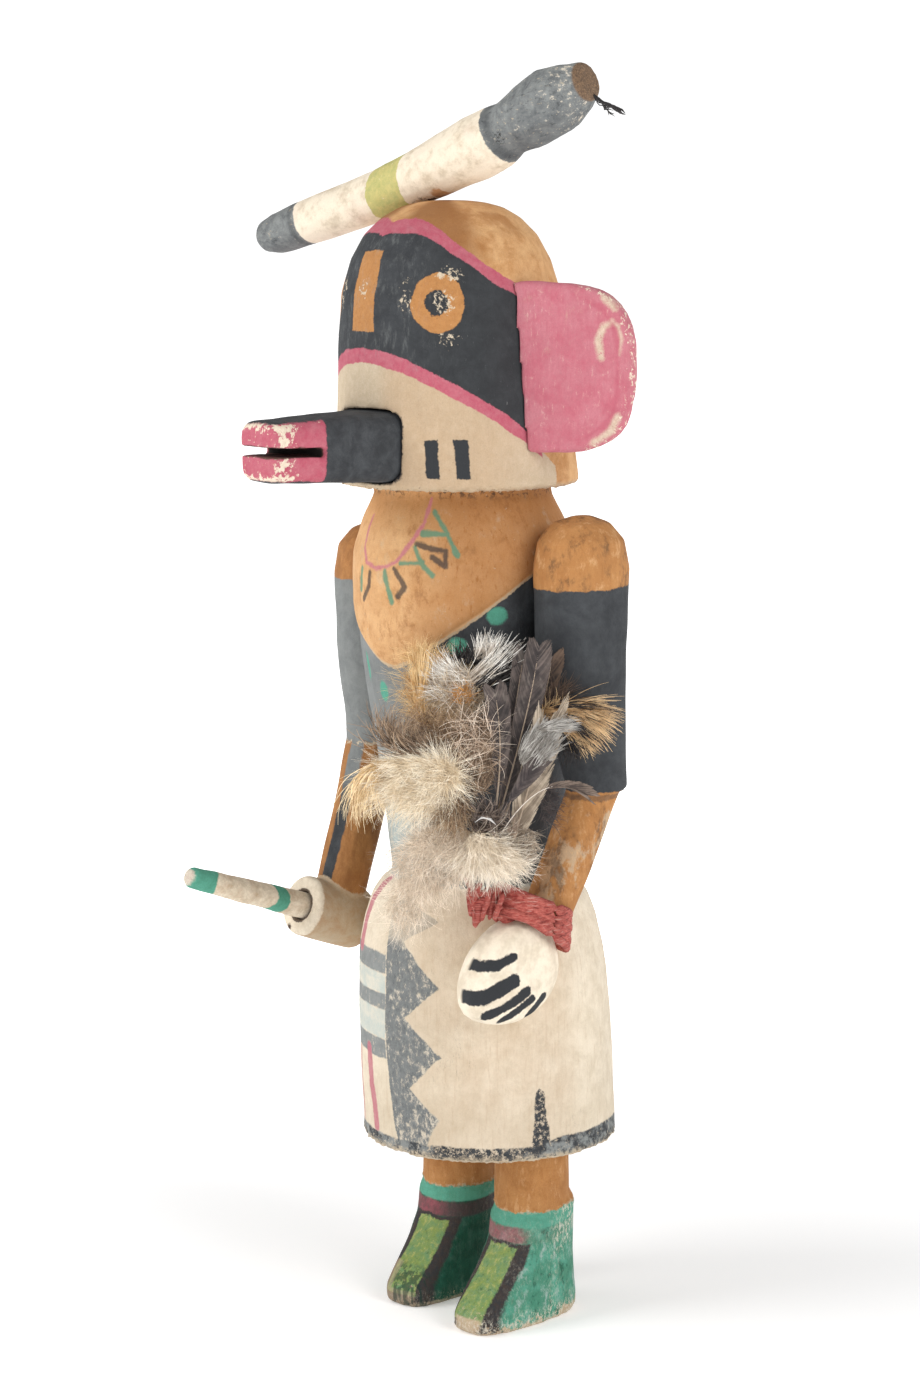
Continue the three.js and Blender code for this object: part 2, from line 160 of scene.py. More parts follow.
class Value:
    """A number that changes over the surface."""

    def __init__(self, recipe, socket):
        self.recipe = recipe
        self.socket = socket

    def __add__(self, other):
        return self.recipe.math("ADD", self, other)

    __radd__ = __add__

    def __sub__(self, other):
        return self.recipe.math("SUBTRACT", self, other)

    def __rsub__(self, other):
        return self.recipe.math("SUBTRACT", other, self)

    def __mul__(self, other):
        return self.recipe.math("MULTIPLY", self, other)

    __rmul__ = __mul__

    def __truediv__(self, other):
        return self.recipe.math("DIVIDE", self, other)

    def __abs__(self):
        return self.recipe.math("ABSOLUTE", self)


class Recipe:
    """A node tree written as arithmetic on values that change over the surface."""

    def __init__(self, tree):
        self.tree = tree

    def add(self, kind, **settings):
        node = self.tree.nodes.new(kind)
        for name, value in settings.items():
            setattr(node, name, value)
        return node

    def feed(self, socket, value):
        if isinstance(value, Value):
            self.tree.links.new(value.socket, socket)
        else:
            socket.default_value = value

    def math(self, operation, *values):
        node = self.add("ShaderNodeMath", operation=operation)
        for socket, value in zip(node.inputs, values):
            self.feed(socket, value)
        return Value(self, node.outputs[0])

    def least(self, *values):
        """Inside all of these: the smallest depth."""
        result = values[0]
        for value in values[1:]:
            result = self.math("MINIMUM", result, value)
        return result

    def most(self, *values):
        """Inside any of these: the largest depth."""
        result = values[0]
        for value in values[1:]:
            result = self.math("MAXIMUM", result, value)
        return result

    def band(self, value, low, high):
        """Depth inside the band from low to high."""
        return self.least(value - low, high - value)

    def length(self, across, up):
        return self.math("SQRT", across * across + up * up)

    def ramp(self, value, low, high):
        """0 at low and 1 at high, eased between."""
        node = self.add("ShaderNodeMapRange", interpolation_type="SMOOTHSTEP")
        for socket, part in zip(node.inputs, (value, low, high, 0.0, 1.0)):
            self.feed(socket, part)
        return Value(self, node.outputs[0])

    def curve(self, value, points, handle="AUTO"):
        """A line through a few (value, result) points: AUTO is smooth and VECTOR is straight."""
        first, last = points[0][0], points[-1][0]
        low = min(result for _, result in points)
        tall = max(result for _, result in points) - low
        node = self.add("ShaderNodeFloatCurve")
        line = node.mapping.curves[0]
        for place, (at, result) in enumerate(points):
            where = ((at - first) / (last - first), (result - low) / tall)
            if place in (0, len(points) - 1):
                line.points[0 if place == 0 else -1].location = where
            else:
                line.points.new(*where)
        for point in line.points:
            point.handle_type = handle
        node.mapping.update()
        self.feed(node.inputs["Value"], (value - first) / (last - first))
        return Value(self, node.outputs[0]) * tall + low

    def split(self, vector):
        node = self.add("ShaderNodeSeparateXYZ")
        self.feed(node.inputs[0], vector)
        return [Value(self, socket) for socket in node.outputs]

    def vector_math(self, operation, first, second):
        node = self.add("ShaderNodeVectorMath", operation=operation)
        self.feed(node.inputs[0], first)
        self.feed(node.inputs[1], second)
        return Value(self, node.outputs[0])

    def noise(self, place, scale, detail=3.0, rough=0.55, twist=0.0):
        node = self.add("ShaderNodeTexNoise")
        parts = {"Vector": place, "Scale": scale, "Detail": detail, "Roughness": rough, "Distortion": twist}
        for name, value in parts.items():
            self.feed(node.inputs[name], value)
        return Value(self, node.outputs[0])

    def blend(self, below, above, mask):
        node = self.add("ShaderNodeMix", data_type="RGBA")
        self.feed(node.inputs[0], mask)
        self.feed(node.inputs[6], below)
        self.feed(node.inputs[7], above)
        return Value(self, node.outputs[2])

    def shaded(self, colour, brightness):
        node = self.add("ShaderNodeHueSaturation")
        self.feed(node.inputs["Color"], colour)
        self.feed(node.inputs["Value"], brightness)
        return Value(self, node.outputs[0])

    def use(self, group, outputs, **inputs):
        """Places a shared group; input names have _ for the spaces."""
        node = self.add("ShaderNodeGroup", node_tree=bpy.data.node_groups[group])
        for name, value in inputs.items():
            self.feed(node.inputs[name.replace("_", " ")], value)
        found = [Value(self, node.outputs[name]) for name in outputs]
        return found[0] if len(found) == 1 else found

    def attribute(self, name):
        node = self.add("ShaderNodeAttribute", attribute_name=name)
        return Value(self, node.outputs["Fac"])


class Finish(Recipe):
    """One painted finish: patterns first, then layers of paint, then age."""

    def __init__(self, name):
        self.material = bpy.data.materials.new(name)
        self.material.use_nodes = True
        super().__init__(self.material.node_tree)
        self.tree.nodes.clear()
        self.output = self.add("ShaderNodeOutputMaterial")
        coordinates = self.add("ShaderNodeTexCoord")
        metres = Value(self, coordinates.outputs["Object"])
        self.place = self.vector_math("SCALE", self.vector_math("SUBTRACT", metres, tuple(AXIS)), (0, 0, 0))
        self.place.socket.node.inputs["Scale"].default_value = 1 / MM
        self.x, self.y, self.z = self.split(self.place)
        geometry = self.add("ShaderNodeNewGeometry")
        self.edge = self.ramp(Value(self, geometry.outputs["Pointiness"]), 0.52, 0.6)
        # Painted shade: 1 in concave places, where the red strips are darkened.
        self.crease_shade = self.ramp(Value(self, geometry.outputs["Pointiness"]), 0.49, 0.42)
        self.wander = self.use("Unsteady hand", ["Wander"], Place=self.place)
        self.colour = None

    def azimuth(self, centre_y):
        """Degrees round the figure, from its front toward its left."""
        return self.use("Round the figure", ["Azimuth"], Place=self.place, Centre_Y=centre_y)

    def worn(self, depth, softness=0.35):
        """1 inside a painted shape, with the worn edge of old paint."""
        return self.use("Worn edge", ["Mask"], Depth=depth, Wander=self.wander, Softness=softness)

    def squeezed(self, by):
        """The place squeezed along each axis, so that patterns in it run long. One number is for z."""
        return self.vector_math("MULTIPLY", self.place, by if isinstance(by, tuple) else (1, 1, by))

    def clouds(self, *texture):
        """Noise over the surface: its scale, then how fine and how rough it is."""
        return self.noise(self.place, *texture)

    def brushed(self, by, *texture):
        """Noise drawn out the way a brush went."""
        return self.noise(self.squeezed(by), *texture)

    def stroke(self, across, up, start, end, width):
        """Depth inside a straight brush stroke."""
        parts = {"From_U": start[0], "From_V": start[1], "To_U": end[0], "To_V": end[1]}
        return self.use("Brush stroke", ["Depth"], U=across, V=up, Half_Width=width / 2, **parts)

    def strokes(self, across, up, points, width):
        """Depth inside a brush stroke through several points."""
        parts = [self.stroke(across, up, a, b, width) for a, b in zip(points, points[1:])]
        return self.most(*parts)

    def coat(self, colour, mask=None):
        """Lays one more colour over what is there."""
        if isinstance(colour, str):
            colour = paint(colour)
        self.colour = colour if mask is None else self.blend(self.colour, colour, mask)

    def mottled(self, thin, thick, scale=0.12, share=0.7):
        """A paint that lies thin and thick by turns."""
        patches = self.noise(self.place, scale * 1.8, 6.0, 0.75, 0.3)
        return self.blend(paint(thin), paint(thick), self.ramp(patches, 0.3, 0.78) * share)

    def flakes(self, amount, scale=0.9):
        """1 where the paint has come away. More amount, more loss."""
        return self.use("Flaking", ["Mask"], Place=self.place, Amount=amount, Scale=scale)

    def scratches(self, by, amount, scale):
        """1 along scratches, which run the way the place is squeezed."""
        return self.use("Flaking", ["Mask"], Place=self.squeezed(by), Amount=amount, Scale=scale)

    def finish(self, blotch=0.12, speck=0.1, relief=1.0):
        """Adds age and brush texture, and makes the surface."""
        colour, roughness, height = self.use(
            "Old paint",
            ["Color", "Roughness", "Height"],
            Color=self.colour,
            Place=self.place,
            Blotch=blotch,
            Speck=speck,
        )
        bump = self.add("ShaderNodeBump")
        bump.inputs["Strength"].default_value = 0.55
        bump.inputs["Distance"].default_value = BRUSH_RELIEF * MM * relief
        self.feed(bump.inputs["Height"], height)
        return self.surface(
            Specular_IOR_Level=0.3,
            Base_Color=colour,
            Roughness=roughness,
            Normal=Value(self, bump.outputs[0]),
        )

    def surface(self, **parts):
        """Makes the surface from its parts, whose names have _ for the spaces."""
        shader = self.add("ShaderNodeBsdfPrincipled")
        for name, value in parts.items():
            self.feed(shader.inputs[name.replace("_", " ")], value)
        self.tree.links.new(shader.outputs[0], self.output.inputs["Surface"])
        return self.material


# ---------- shared node groups ----------


def new_group(name, inputs, outputs):
    """An empty shader group. Each socket is (name, kind, default)."""
    tree = bpy.data.node_groups.new(name, "ShaderNodeTree")
    for label, kind, default in inputs:
        socket = tree.interface.new_socket(label, in_out="INPUT", socket_type="NodeSocket" + kind)
        socket.default_value = default
    for label, kind in outputs:
        tree.interface.new_socket(label, in_out="OUTPUT", socket_type="NodeSocket" + kind)
    recipe = Recipe(tree)
    entry = recipe.add("NodeGroupInput")
    given = {label: Value(recipe, entry.outputs[label]) for label, _, _ in inputs}
    return recipe, given, recipe.add("NodeGroupOutput")


def build_round_group():
    inputs = [("Place", "Vector", (0, 0, 0)), ("Centre Y", "Float", 0.0)]
    recipe, given, leave = new_group("Round the figure", inputs, [("Azimuth", "Float")])
    x, y, _ = recipe.split(given["Place"])
    turn = recipe.math("ARCTAN2", x, given["Centre Y"] - y)
    recipe.feed(leave.inputs["Azimuth"], recipe.math("DEGREES", turn))


def build_stroke_group():
    names = ["U", "V", "From U", "From V", "To U", "To V"]
    inputs = [(name, "Float", 0.0) for name in names] + [("Half Width", "Float", 0.5)]
    recipe, given, leave = new_group("Brush stroke", inputs, [("Depth", "Float")])
    run_u = given["To U"] - given["From U"]
    run_v = given["To V"] - given["From V"]
    off_u = given["U"] - given["From U"]
    off_v = given["V"] - given["From V"]
    share = (off_u * run_u + off_v * run_v) / (run_u * run_u + run_v * run_v)
    share.socket.node.use_clamp = True
    gap = recipe.length(off_u - share * run_u, off_v - share * run_v)
    recipe.feed(leave.inputs["Depth"], given["Half Width"] - gap)


def build_edge_groups():
    recipe, given, leave = new_group("Unsteady hand", [("Place", "Vector", (0, 0, 0))], [("Wander", "Float")])
    slow = recipe.noise(given["Place"], 0.22, 2.0) - 0.5
    quick = recipe.noise(given["Place"], 1.6, 4.0, 0.65) - 0.5
    recipe.feed(leave.inputs["Wander"], slow * 1.3 + quick * 0.9)

    inputs = [("Depth", "Float", 0.0), ("Wander", "Float", 0.0), ("Softness", "Float", 0.35)]
    recipe, given, leave = new_group("Worn edge", inputs, [("Mask", "Float")])
    mask = (given["Depth"] + given["Wander"]) / given["Softness"] + 0.5
    mask.socket.node.use_clamp = True
    recipe.feed(leave.inputs["Mask"], mask)

    inputs = [("Place", "Vector", (0, 0, 0)), ("Amount", "Float", 0.2), ("Scale", "Float", 0.9)]
    recipe, given, leave = new_group("Flaking", inputs, [("Mask", "Float")])
    patches = recipe.noise(given["Place"], given["Scale"], 6.0, 0.68, 0.3)
    lost = given["Amount"] * 0.75 + patches
    recipe.feed(leave.inputs["Mask"], recipe.ramp(lost, 0.73, 0.79))


def build_old_paint_group():
    inputs = [
        ("Color", "Color", (1, 1, 1, 1)),
        ("Place", "Vector", (0, 0, 0)),
        ("Blotch", "Float", 0.12),
        ("Speck", "Float", 0.1),
    ]
    outputs = [("Color", "Color"), ("Roughness", "Float"), ("Height", "Float")]
    recipe, given, leave = new_group("Old paint", inputs, outputs)
    broad = recipe.noise(given["Place"], 0.07, 4.0, 0.6, 0.6) - 0.5
    streaked = recipe.vector_math("MULTIPLY", given["Place"], (1.0, 1.0, 0.16))
    streak = recipe.noise(streaked, 1.3, 4.0, 0.6) - 0.5
    grit = recipe.noise(given["Place"], 3.2, 3.0, 0.7) - 0.5
    pits = recipe.ramp(recipe.noise(given["Place"], 2.1, 2.0, 0.5), 0.69, 0.76)
    bright = (broad * 1.5 + streak * 0.9) * given["Blotch"] + (grit * 3.4 - pits * 1.6) * given["Speck"] + 1.0
    recipe.feed(leave.inputs["Color"], recipe.shaded(given["Color"], bright))
    recipe.feed(leave.inputs["Roughness"], broad * 0.25 + grit * 0.2 + 0.78)
    recipe.feed(leave.inputs["Height"], streak * 0.6 + grit * 0.55 + broad * 0.5)


def build_groups():
    build_round_group()
    build_stroke_group()
    build_edge_groups()
    build_old_paint_group()


# ---------- the carved surface ----------


def new_object(name, data):
    thing = bpy.data.objects.new(name, data)
    bpy.context.scene.collection.objects.link(thing)
    return thing


def add_piece(name, mesh, slot, *nodes):
    """A finished piece in place of its solids."""
    piece = new_object(name, mesh)
    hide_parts(*nodes)
    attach(piece, "root")


def read_rows(items, name):
    """The three numbers that each vertex or face keeps under a name."""
    rows = np.empty(len(items) * 3)
    items.foreach_get(name, rows)
    return rows.reshape(-1, 3)


def points_of(mesh):
    """The mesh's points in millimetres about the doll's axis."""
    return (read_rows(mesh.vertices, "co") - np.array(AXIS)) / MM


def set_points(mesh, points):
    mesh.vertices.foreach_set("co", (points * MM + np.array(AXIS)).ravel())
    mesh.update()


def carve(name, node, spacing, smoothing):
    """An even, close mesh over a solid, with its corners a little softened."""
    rough = new_object(name + "_rough", frame["nodes"][node].data.copy())
    remesh = rough.modifiers.new("Even", "REMESH")
    remesh.mode = "VOXEL"
    remesh.voxel_size = spacing
    soften = rough.modifiers.new("Soften", "SMOOTH")
    soften.iterations = smoothing
    view = bpy.context.evaluated_depsgraph_get()
    mesh = bpy.data.meshes.new_from_object(rough.evaluated_get(view))
    bpy.data.objects.remove(rough)
    mesh.name = name
    mesh.materials.clear()
    mesh.polygons.foreach_set("use_smooth", np.ones(len(mesh.polygons), bool))
    return mesh


def knife(mesh, depth, wave, seed, limit=None):
    """Leaves the surface a little uneven, as a knife and sandstone do."""
    points = points_of(mesh)
    normals = read_rows(mesh.vertices, "normal")
    shift = Vector((seed, seed * 2.7, 0))
    uneven = np.array([noise.noise(Vector(p) / wave + shift) for p in points])
    if limit is not None:
        uneven *= limit(points)
    set_points(mesh, points + normals * (uneven * depth / MM)[:, None])


def crumble(mesh, edges, depth, wave, seed):
    """Breaks up the edges where paint and clay have crumbled. Each edge is (height, half reach)."""
    points = points_of(mesh)
    normals = read_rows(mesh.vertices, "normal")
    near = np.zeros(len(points))
    for height, reach in edges:
        near = np.maximum(near, np.clip(1 - np.abs(points[:, 2] - height) / reach, 0, 1))
    shift = Vector((seed, seed, seed))
    for k in np.nonzero(near)[0]:
        uneven = noise.fractal(Vector(points[k]) / wave + shift, 0.9, 2.0, 3)
        points[k] += normals[k] * (uneven * near[k] * depth)
    set_points(mesh, points)


def add_carving(node, slot, finish, spacing, smoothing, marks):
    """Carves and paints one small solid. marks are the knife's (depth, wave, seed)."""
    name = node + "_paint"
    mesh = carve(name, node, spacing, smoothing)
    knife(mesh, *marks)
    mesh.materials.append(finish)
    add_piece(name, mesh, slot, node)


def share_slots(mesh, finishes, choose):
    """Gives each face the finish that choose names from its centre."""
    for finish in finishes:
        mesh.materials.append(finish)
    centres = (read_rows(mesh.polygons, "center") - np.array(AXIS)) / MM
    mesh.polygons.foreach_set("material_index", choose(centres).astype(np.int32))


# ---------- the figure's own sizes, in millimetres about its axis ----------

SIDES = 36
MASK = {"y": -9.0, "taper": -1.8, "low": 201.4, "high": 233.0, "edge": 202.6}
# Millimetres to a degree, round the mask and trunk and round the kilt.
ARC = math.radians(1) * 27.5
KILT_ARC = math.radians(1) * 30.5
# Heights of the painted root's own edges.
SOLE = 1.5
BOOT_TOP = 27.5
HEM = 42.8
WAIST = 107.6
COLLAR = 200.2
# The eyes: degrees from the front, height, and the radii of the iris and pupil.
EYE = {"at": 43.5, "z": 243.8, "iris": 6.7, "pupil": 2.7}
CAPE = {"tip": 157.6, "slope": 17.6, "round": 0.15, "turn": 6.0}
LEAN = {"y": 1.4, "slope": 0.055, "from": 43}
FEET = [{"x": 13.8, "y": 3.0, "turn": 8.0}, {"x": -13.6, "y": 3.2, "turn": 12.0}]


def lean_at(z):
    """How far back the middle of the trunk and kilt lies at a height."""
    return LEAN["y"] - LEAN["slope"] * (z - LEAN["from"])


def round_points(points, arc):
    """(degrees, height) points as millimetres round a surface."""
    return [(at * arc, up) for at, up in points]


def round_off(mesh):
    """Rounds the flat-sided courses of the mask, trunk and kilt."""
    points = points_of(mesh)
    z = points[:, 2]
    rise = np.clip((z - MASK["low"]) / (MASK["high"] - MASK["low"]), 0, 1)
    head = z > MASK["low"] - 0.5
    centre = np.where(head, MASK["y"] + MASK["taper"] * rise, lean_at(z))
    across, deep = points[:, 0], points[:, 1] - centre
    course = math.tau / SIDES
    off = np.mod(np.arctan2(deep, across), course) - course / 2
    swell = np.where(z > HEM + 0.3, np.cos(off) / math.cos(course / 2), 1)
    points[:, 0] = across * swell
    points[:, 1] = deep * swell + centre
    set_points(mesh, points)


# ---------- painted finishes of the figure ----------


def mask_finish():
    f = Finish("mask paint")
    rise = f.ramp(f.z, MASK["low"], MASK["high"])
    around = f.azimuth(rise * MASK["taper"] + MASK["y"])
    side = abs(around)
    upper = f.curve(side, [(0, 260.2), (16, 261), (30, 260.5), (55, 255.2), (75, 249.4), (95, 245)])
    lower = f.curve(side, [(0, 231.6), (18, 230.7), (44, 225.7), (68, 219.4), (88, 212.7), (100, 208)])
    before_ear = (91 - side) * ARC
    f.coat(f.mottled("pale_ochre", "ochre", 0.1, 1.0))
    f.coat("deep_ochre", f.ramp(f.clouds(0.09, 5.0, 0.7), 0.48, 0.64) * 0.45)
    # Painted shade: a darker brown band on the dome just above the upper rose line.
    shade_over_line = f.ramp(f.z - upper + f.wander * 2, 15, 7) * f.ramp(side, 4, 20) * f.ramp(side, 78, 54)
    f.coat(f.blend(f.mottled("deep_ochre", "ochre", 0.2, 0.4), paint("dirt"), 0.22), shade_over_line * 0.9)
    # Painted shade: on the doll's left cheek, round toward the ear, the clay is pulled toward the bare-wood
    # colour. It is also pulled a little everywhere, and more lower down.
    cheek_shade = f.ramp(around, 8, 20) * f.ramp(around, 95, 60)
    stain = f.ramp(f.z, 234, 204) * 0.08 + cheek_shade * 0.34 + 0.1
    clay = f.blend(f.mottled("stained_white", "white", 0.3, 0.35), paint("wood"), stain)
    f.coat(clay, f.worn(f.least(lower - f.z, (104 - side) * ARC), 0.3))
    # Painted shade: the slate darkens toward near-black round toward the ear.
    darker = f.ramp(around, 20, 50) * 0.35
    slate = f.blend(f.mottled("slate", "pale_slate", 0.11, 0.5), DARKS["face band shade"], darker)
    f.coat(slate, f.worn(f.least(f.z - lower, upper - f.z, before_ear), 0.3))
    rose = f.mottled("deep_rose", "rose", 0.3)
    upper_line = 1.6 - abs(f.z - upper)
    lower_line = 1.7 - abs(f.z - lower)
    f.coat(rose, f.worn(f.least(f.most(upper_line, lower_line), before_ear + 2), 0.3))
    nose = f.least(f.band(around + (f.z - 246) * 0.06, -10.6, 7.0) * ARC, f.band(f.z, 237.2, 255.2))
    f.coat(f.mottled("ochre", "deep_ochre", 0.5), f.worn(nose, 0.25))
    eye_across = (side - EYE["at"]) * ARC
    eye_up = f.z - EYE["z"]
    eye = f.length(eye_across, eye_up)
    f.coat(f.mottled("ochre", "deep_ochre", 0.4), f.worn(EYE["iris"] - eye, 0.25))
    pupil = EYE["pupil"] - f.length(eye_across + 0.3, eye_up * 0.85) + f.wander * 1.1
    f.coat("slate", f.worn(pupil, 0.3))
    for cheek in (39, 53):
        tilt = (f.z - 208.7) * 0.04
        mark = f.least(1.5 - abs((side - cheek) * ARC + tilt), f.band(f.z, 204.3, 213.0))
        f.coat("slate", f.worn(mark, 0.25))
    off_side = f.most(abs(f.x) - 8.4, 0.0)
    off_up = f.most(abs(f.z - SNOUT["middle"]) - 4.8, 0.0)
    in_front = f.least(3.4 - f.length(off_side, off_up) + f.wander * 0.8, -20 - f.y)
    f.coat(f.mottled("slate", "dirt", 0.5), f.worn(in_front, 0.5))
    rubs = [
        (-8.6, 1.2, 2.0, 5.0, 0.22),
        (3.6, 6.6, 4.6, 1.8, 0.26),
        (3.2, -8.4, 3.4, 2.0, 0.24),
        (1.6, 0.4, 2.6, 3.4, 0.24),
    ]
    spots = []
    for to_right, up, wide, tall, much in rubs:
        near = f.length((eye_across - to_right) / wide, (eye_up - up) / tall)
        spots.append(f.ramp(near, 1.5, 0.5) * much)
    rubbed = f.most(*spots)
    on_nose = f.ramp(abs(around + 3), 9, 2) * f.ramp(abs(f.z - 247), 5, 1)
    near_eye = f.ramp(eye, 12.5, 5.0)
    chips = f.flakes(near_eye * 0.05 + rubbed + on_nose * 0.25 + f.edge * 0.2 + 0.02, 0.9)
    band = f.ramp(f.least(f.z - lower, upper - f.z), -1.2, 0.4)
    f.coat(f.mottled("stained_white", "white", 0.6), chips * band * 0.9)
    scratches = f.scratches(0.25, 0.1, 1.7)
    f.coat("chalk", scratches * band * 0.5)
    brushed = f.brushed(0.3, 0.6, 6.0, 0.8)
    f.coat("chalk", f.ramp(brushed, 0.5, 0.74) * f.ramp(side, 62, 20) * band * 0.3)
    rim = f.ramp(f.z + f.wander, MASK["edge"] + 0.3, MASK["low"] + 0.2)
    f.coat(f.mottled("stained_white", "wood", 1.0), rim * 0.7)
    f.coat("dirt", rim * f.flakes(0.18, 1.1))
    return f.finish(blotch=0.13, speck=0.12)


def trunk_finish():
    f = Finish("trunk paint")
    around = f.azimuth(lean_at(f.z))
    f.coat(f.mottled("slate", "pale_slate", 0.08))
    scratches = f.scratches(0.2, 0.06, 1.4)
    f.coat("pale_slate", scratches * 0.7)
    # Painted light: paler, whiter slate on the front of the trunk, toward its right side, where the light
    # falls.
    painted_lit_side = f.ramp(around, 38, 4) * f.ramp(around, -75, -40) * 0.8
    f.coat(f.mottled("chalk", "pale_slate", 0.1, 0.5), painted_lit_side)
    faded = f.ramp(f.z + f.wander * 3, 141, 128) * f.ramp(abs(around), 46, 16)
    f.coat(f.mottled("sky", "chalk", 0.12), faded * 0.75)
    across = around * ARC
    blobs = [(65, 172.6, 2.5, 2.0), (44, 165.4, 2.5, 2.1), (-5, 153.4, 1.6, 2.3), (-21, 158.4, 0.9, 3.4)]
    for at, height, wide, tall in blobs:
        shape = 1 - f.length((around - at) * ARC / wide, (f.z - height) / tall)
        f.coat(f.mottled("turquoise", "green", 0.4), f.worn(shape * 2.0, 0.6))
    turned = f.math("RADIANS", around - CAPE["turn"])
    from_point = f.math("ARCSINE", f.least(abs(f.math("SINE", turned)), 0.9999))
    edge = f.length(from_point, CAPE["round"]) * CAPE["slope"] + CAPE["tip"]
    cape = f.z - edge + 0.5
    f.coat(f.mottled("stained_white", "ochre", 0.5), f.worn(cape + 0.5, 0.3))
    sunlit = f.blend(f.mottled("pale_ochre", "ochre", 0.1), paint("ochre"), f.ramp(f.z, 188, 200) * 0.6)
    f.coat(sunlit, f.worn(cape - 0.3, 0.3))
    fibres = f.brushed(0.3, 1.1, 5.0, 0.7)
    shaded = f.ramp(around, 8, 52) * f.ramp(around, 178, 120) * 0.66
    f.coat("deep_ochre", (f.ramp(fibres, 0.55, 0.75) * 0.5 + shaded) * f.ramp(cape, 0.2, 1))
    rough = f.brushed(0.7, 0.2, 6.0, 0.75)
    f.coat("deep_ochre", f.ramp(rough, 0.5, 0.66) * f.ramp(cape, 0.2, 1) * 0.5)
    f.coat("dirt", f.ramp(rough, 0.58, 0.74) * f.ramp(cape, 0.2, 1) * 0.3)
    f.coat("stained_white", f.ramp(rough, 0.44, 0.3) * f.ramp(cape, 0.2, 1) * 0.35)
    f.coat("stained_white", f.flakes(0.1, 0.7) * f.ramp(cape, 0.2, 1) * 0.6)
    string = [(-16, 194), (-15, 187), (-10, 183.6), (-2, 182.6), (6, 183.2)]
    string += [(12, 184.4), (20, 188.6), (27, 193.4), (30, 199)]
    thread = f.strokes(across, f.z, round_points(string, ARC), 1.0)
    f.coat(f.mottled("rose", "deep_rose", 0.6), f.worn(thread, 0.5) * 0.85)
    claws = {
        "green": [
            [(33, 196), (40, 192), (46, 186.6)],
            [(27, 191.2), (41, 191.2)],
            [(23, 188), (27, 184.6), (33, 182)],
            [(15, 184.2), (28, 184.6)],
            [(5, 182.2), (7, 179.4), (10, 175.2)],
            [(-14, 182), (-16, 177)],
        ],
        "slate": [
            [(24, 188.8), (32, 187.8), (40, 187.4), (40, 184), (33, 186)],
            [(11, 183), (16, 180.4), (18, 178.8), (14, 176.6)],
            [(-6, 181.4), (-7, 178.2), (-13, 175)],
        ],
    }
    for colour, marks in claws.items():
        depth = f.most(*[f.strokes(across, f.z, round_points(mark, ARC), 0.95) for mark in marks])
        f.coat(colour, f.worn(depth + 0.15, 0.5) * 0.8)
    collar = f.ramp(f.z + f.wander * 1.2, 198.2, 200.4)
    f.coat("dirt", collar * f.flakes(0.28, 0.9) * 0.8)
    f.coat("white", collar * f.flakes(0.1, 1.6))
    return f.finish(blotch=0.12, speck=0.1)


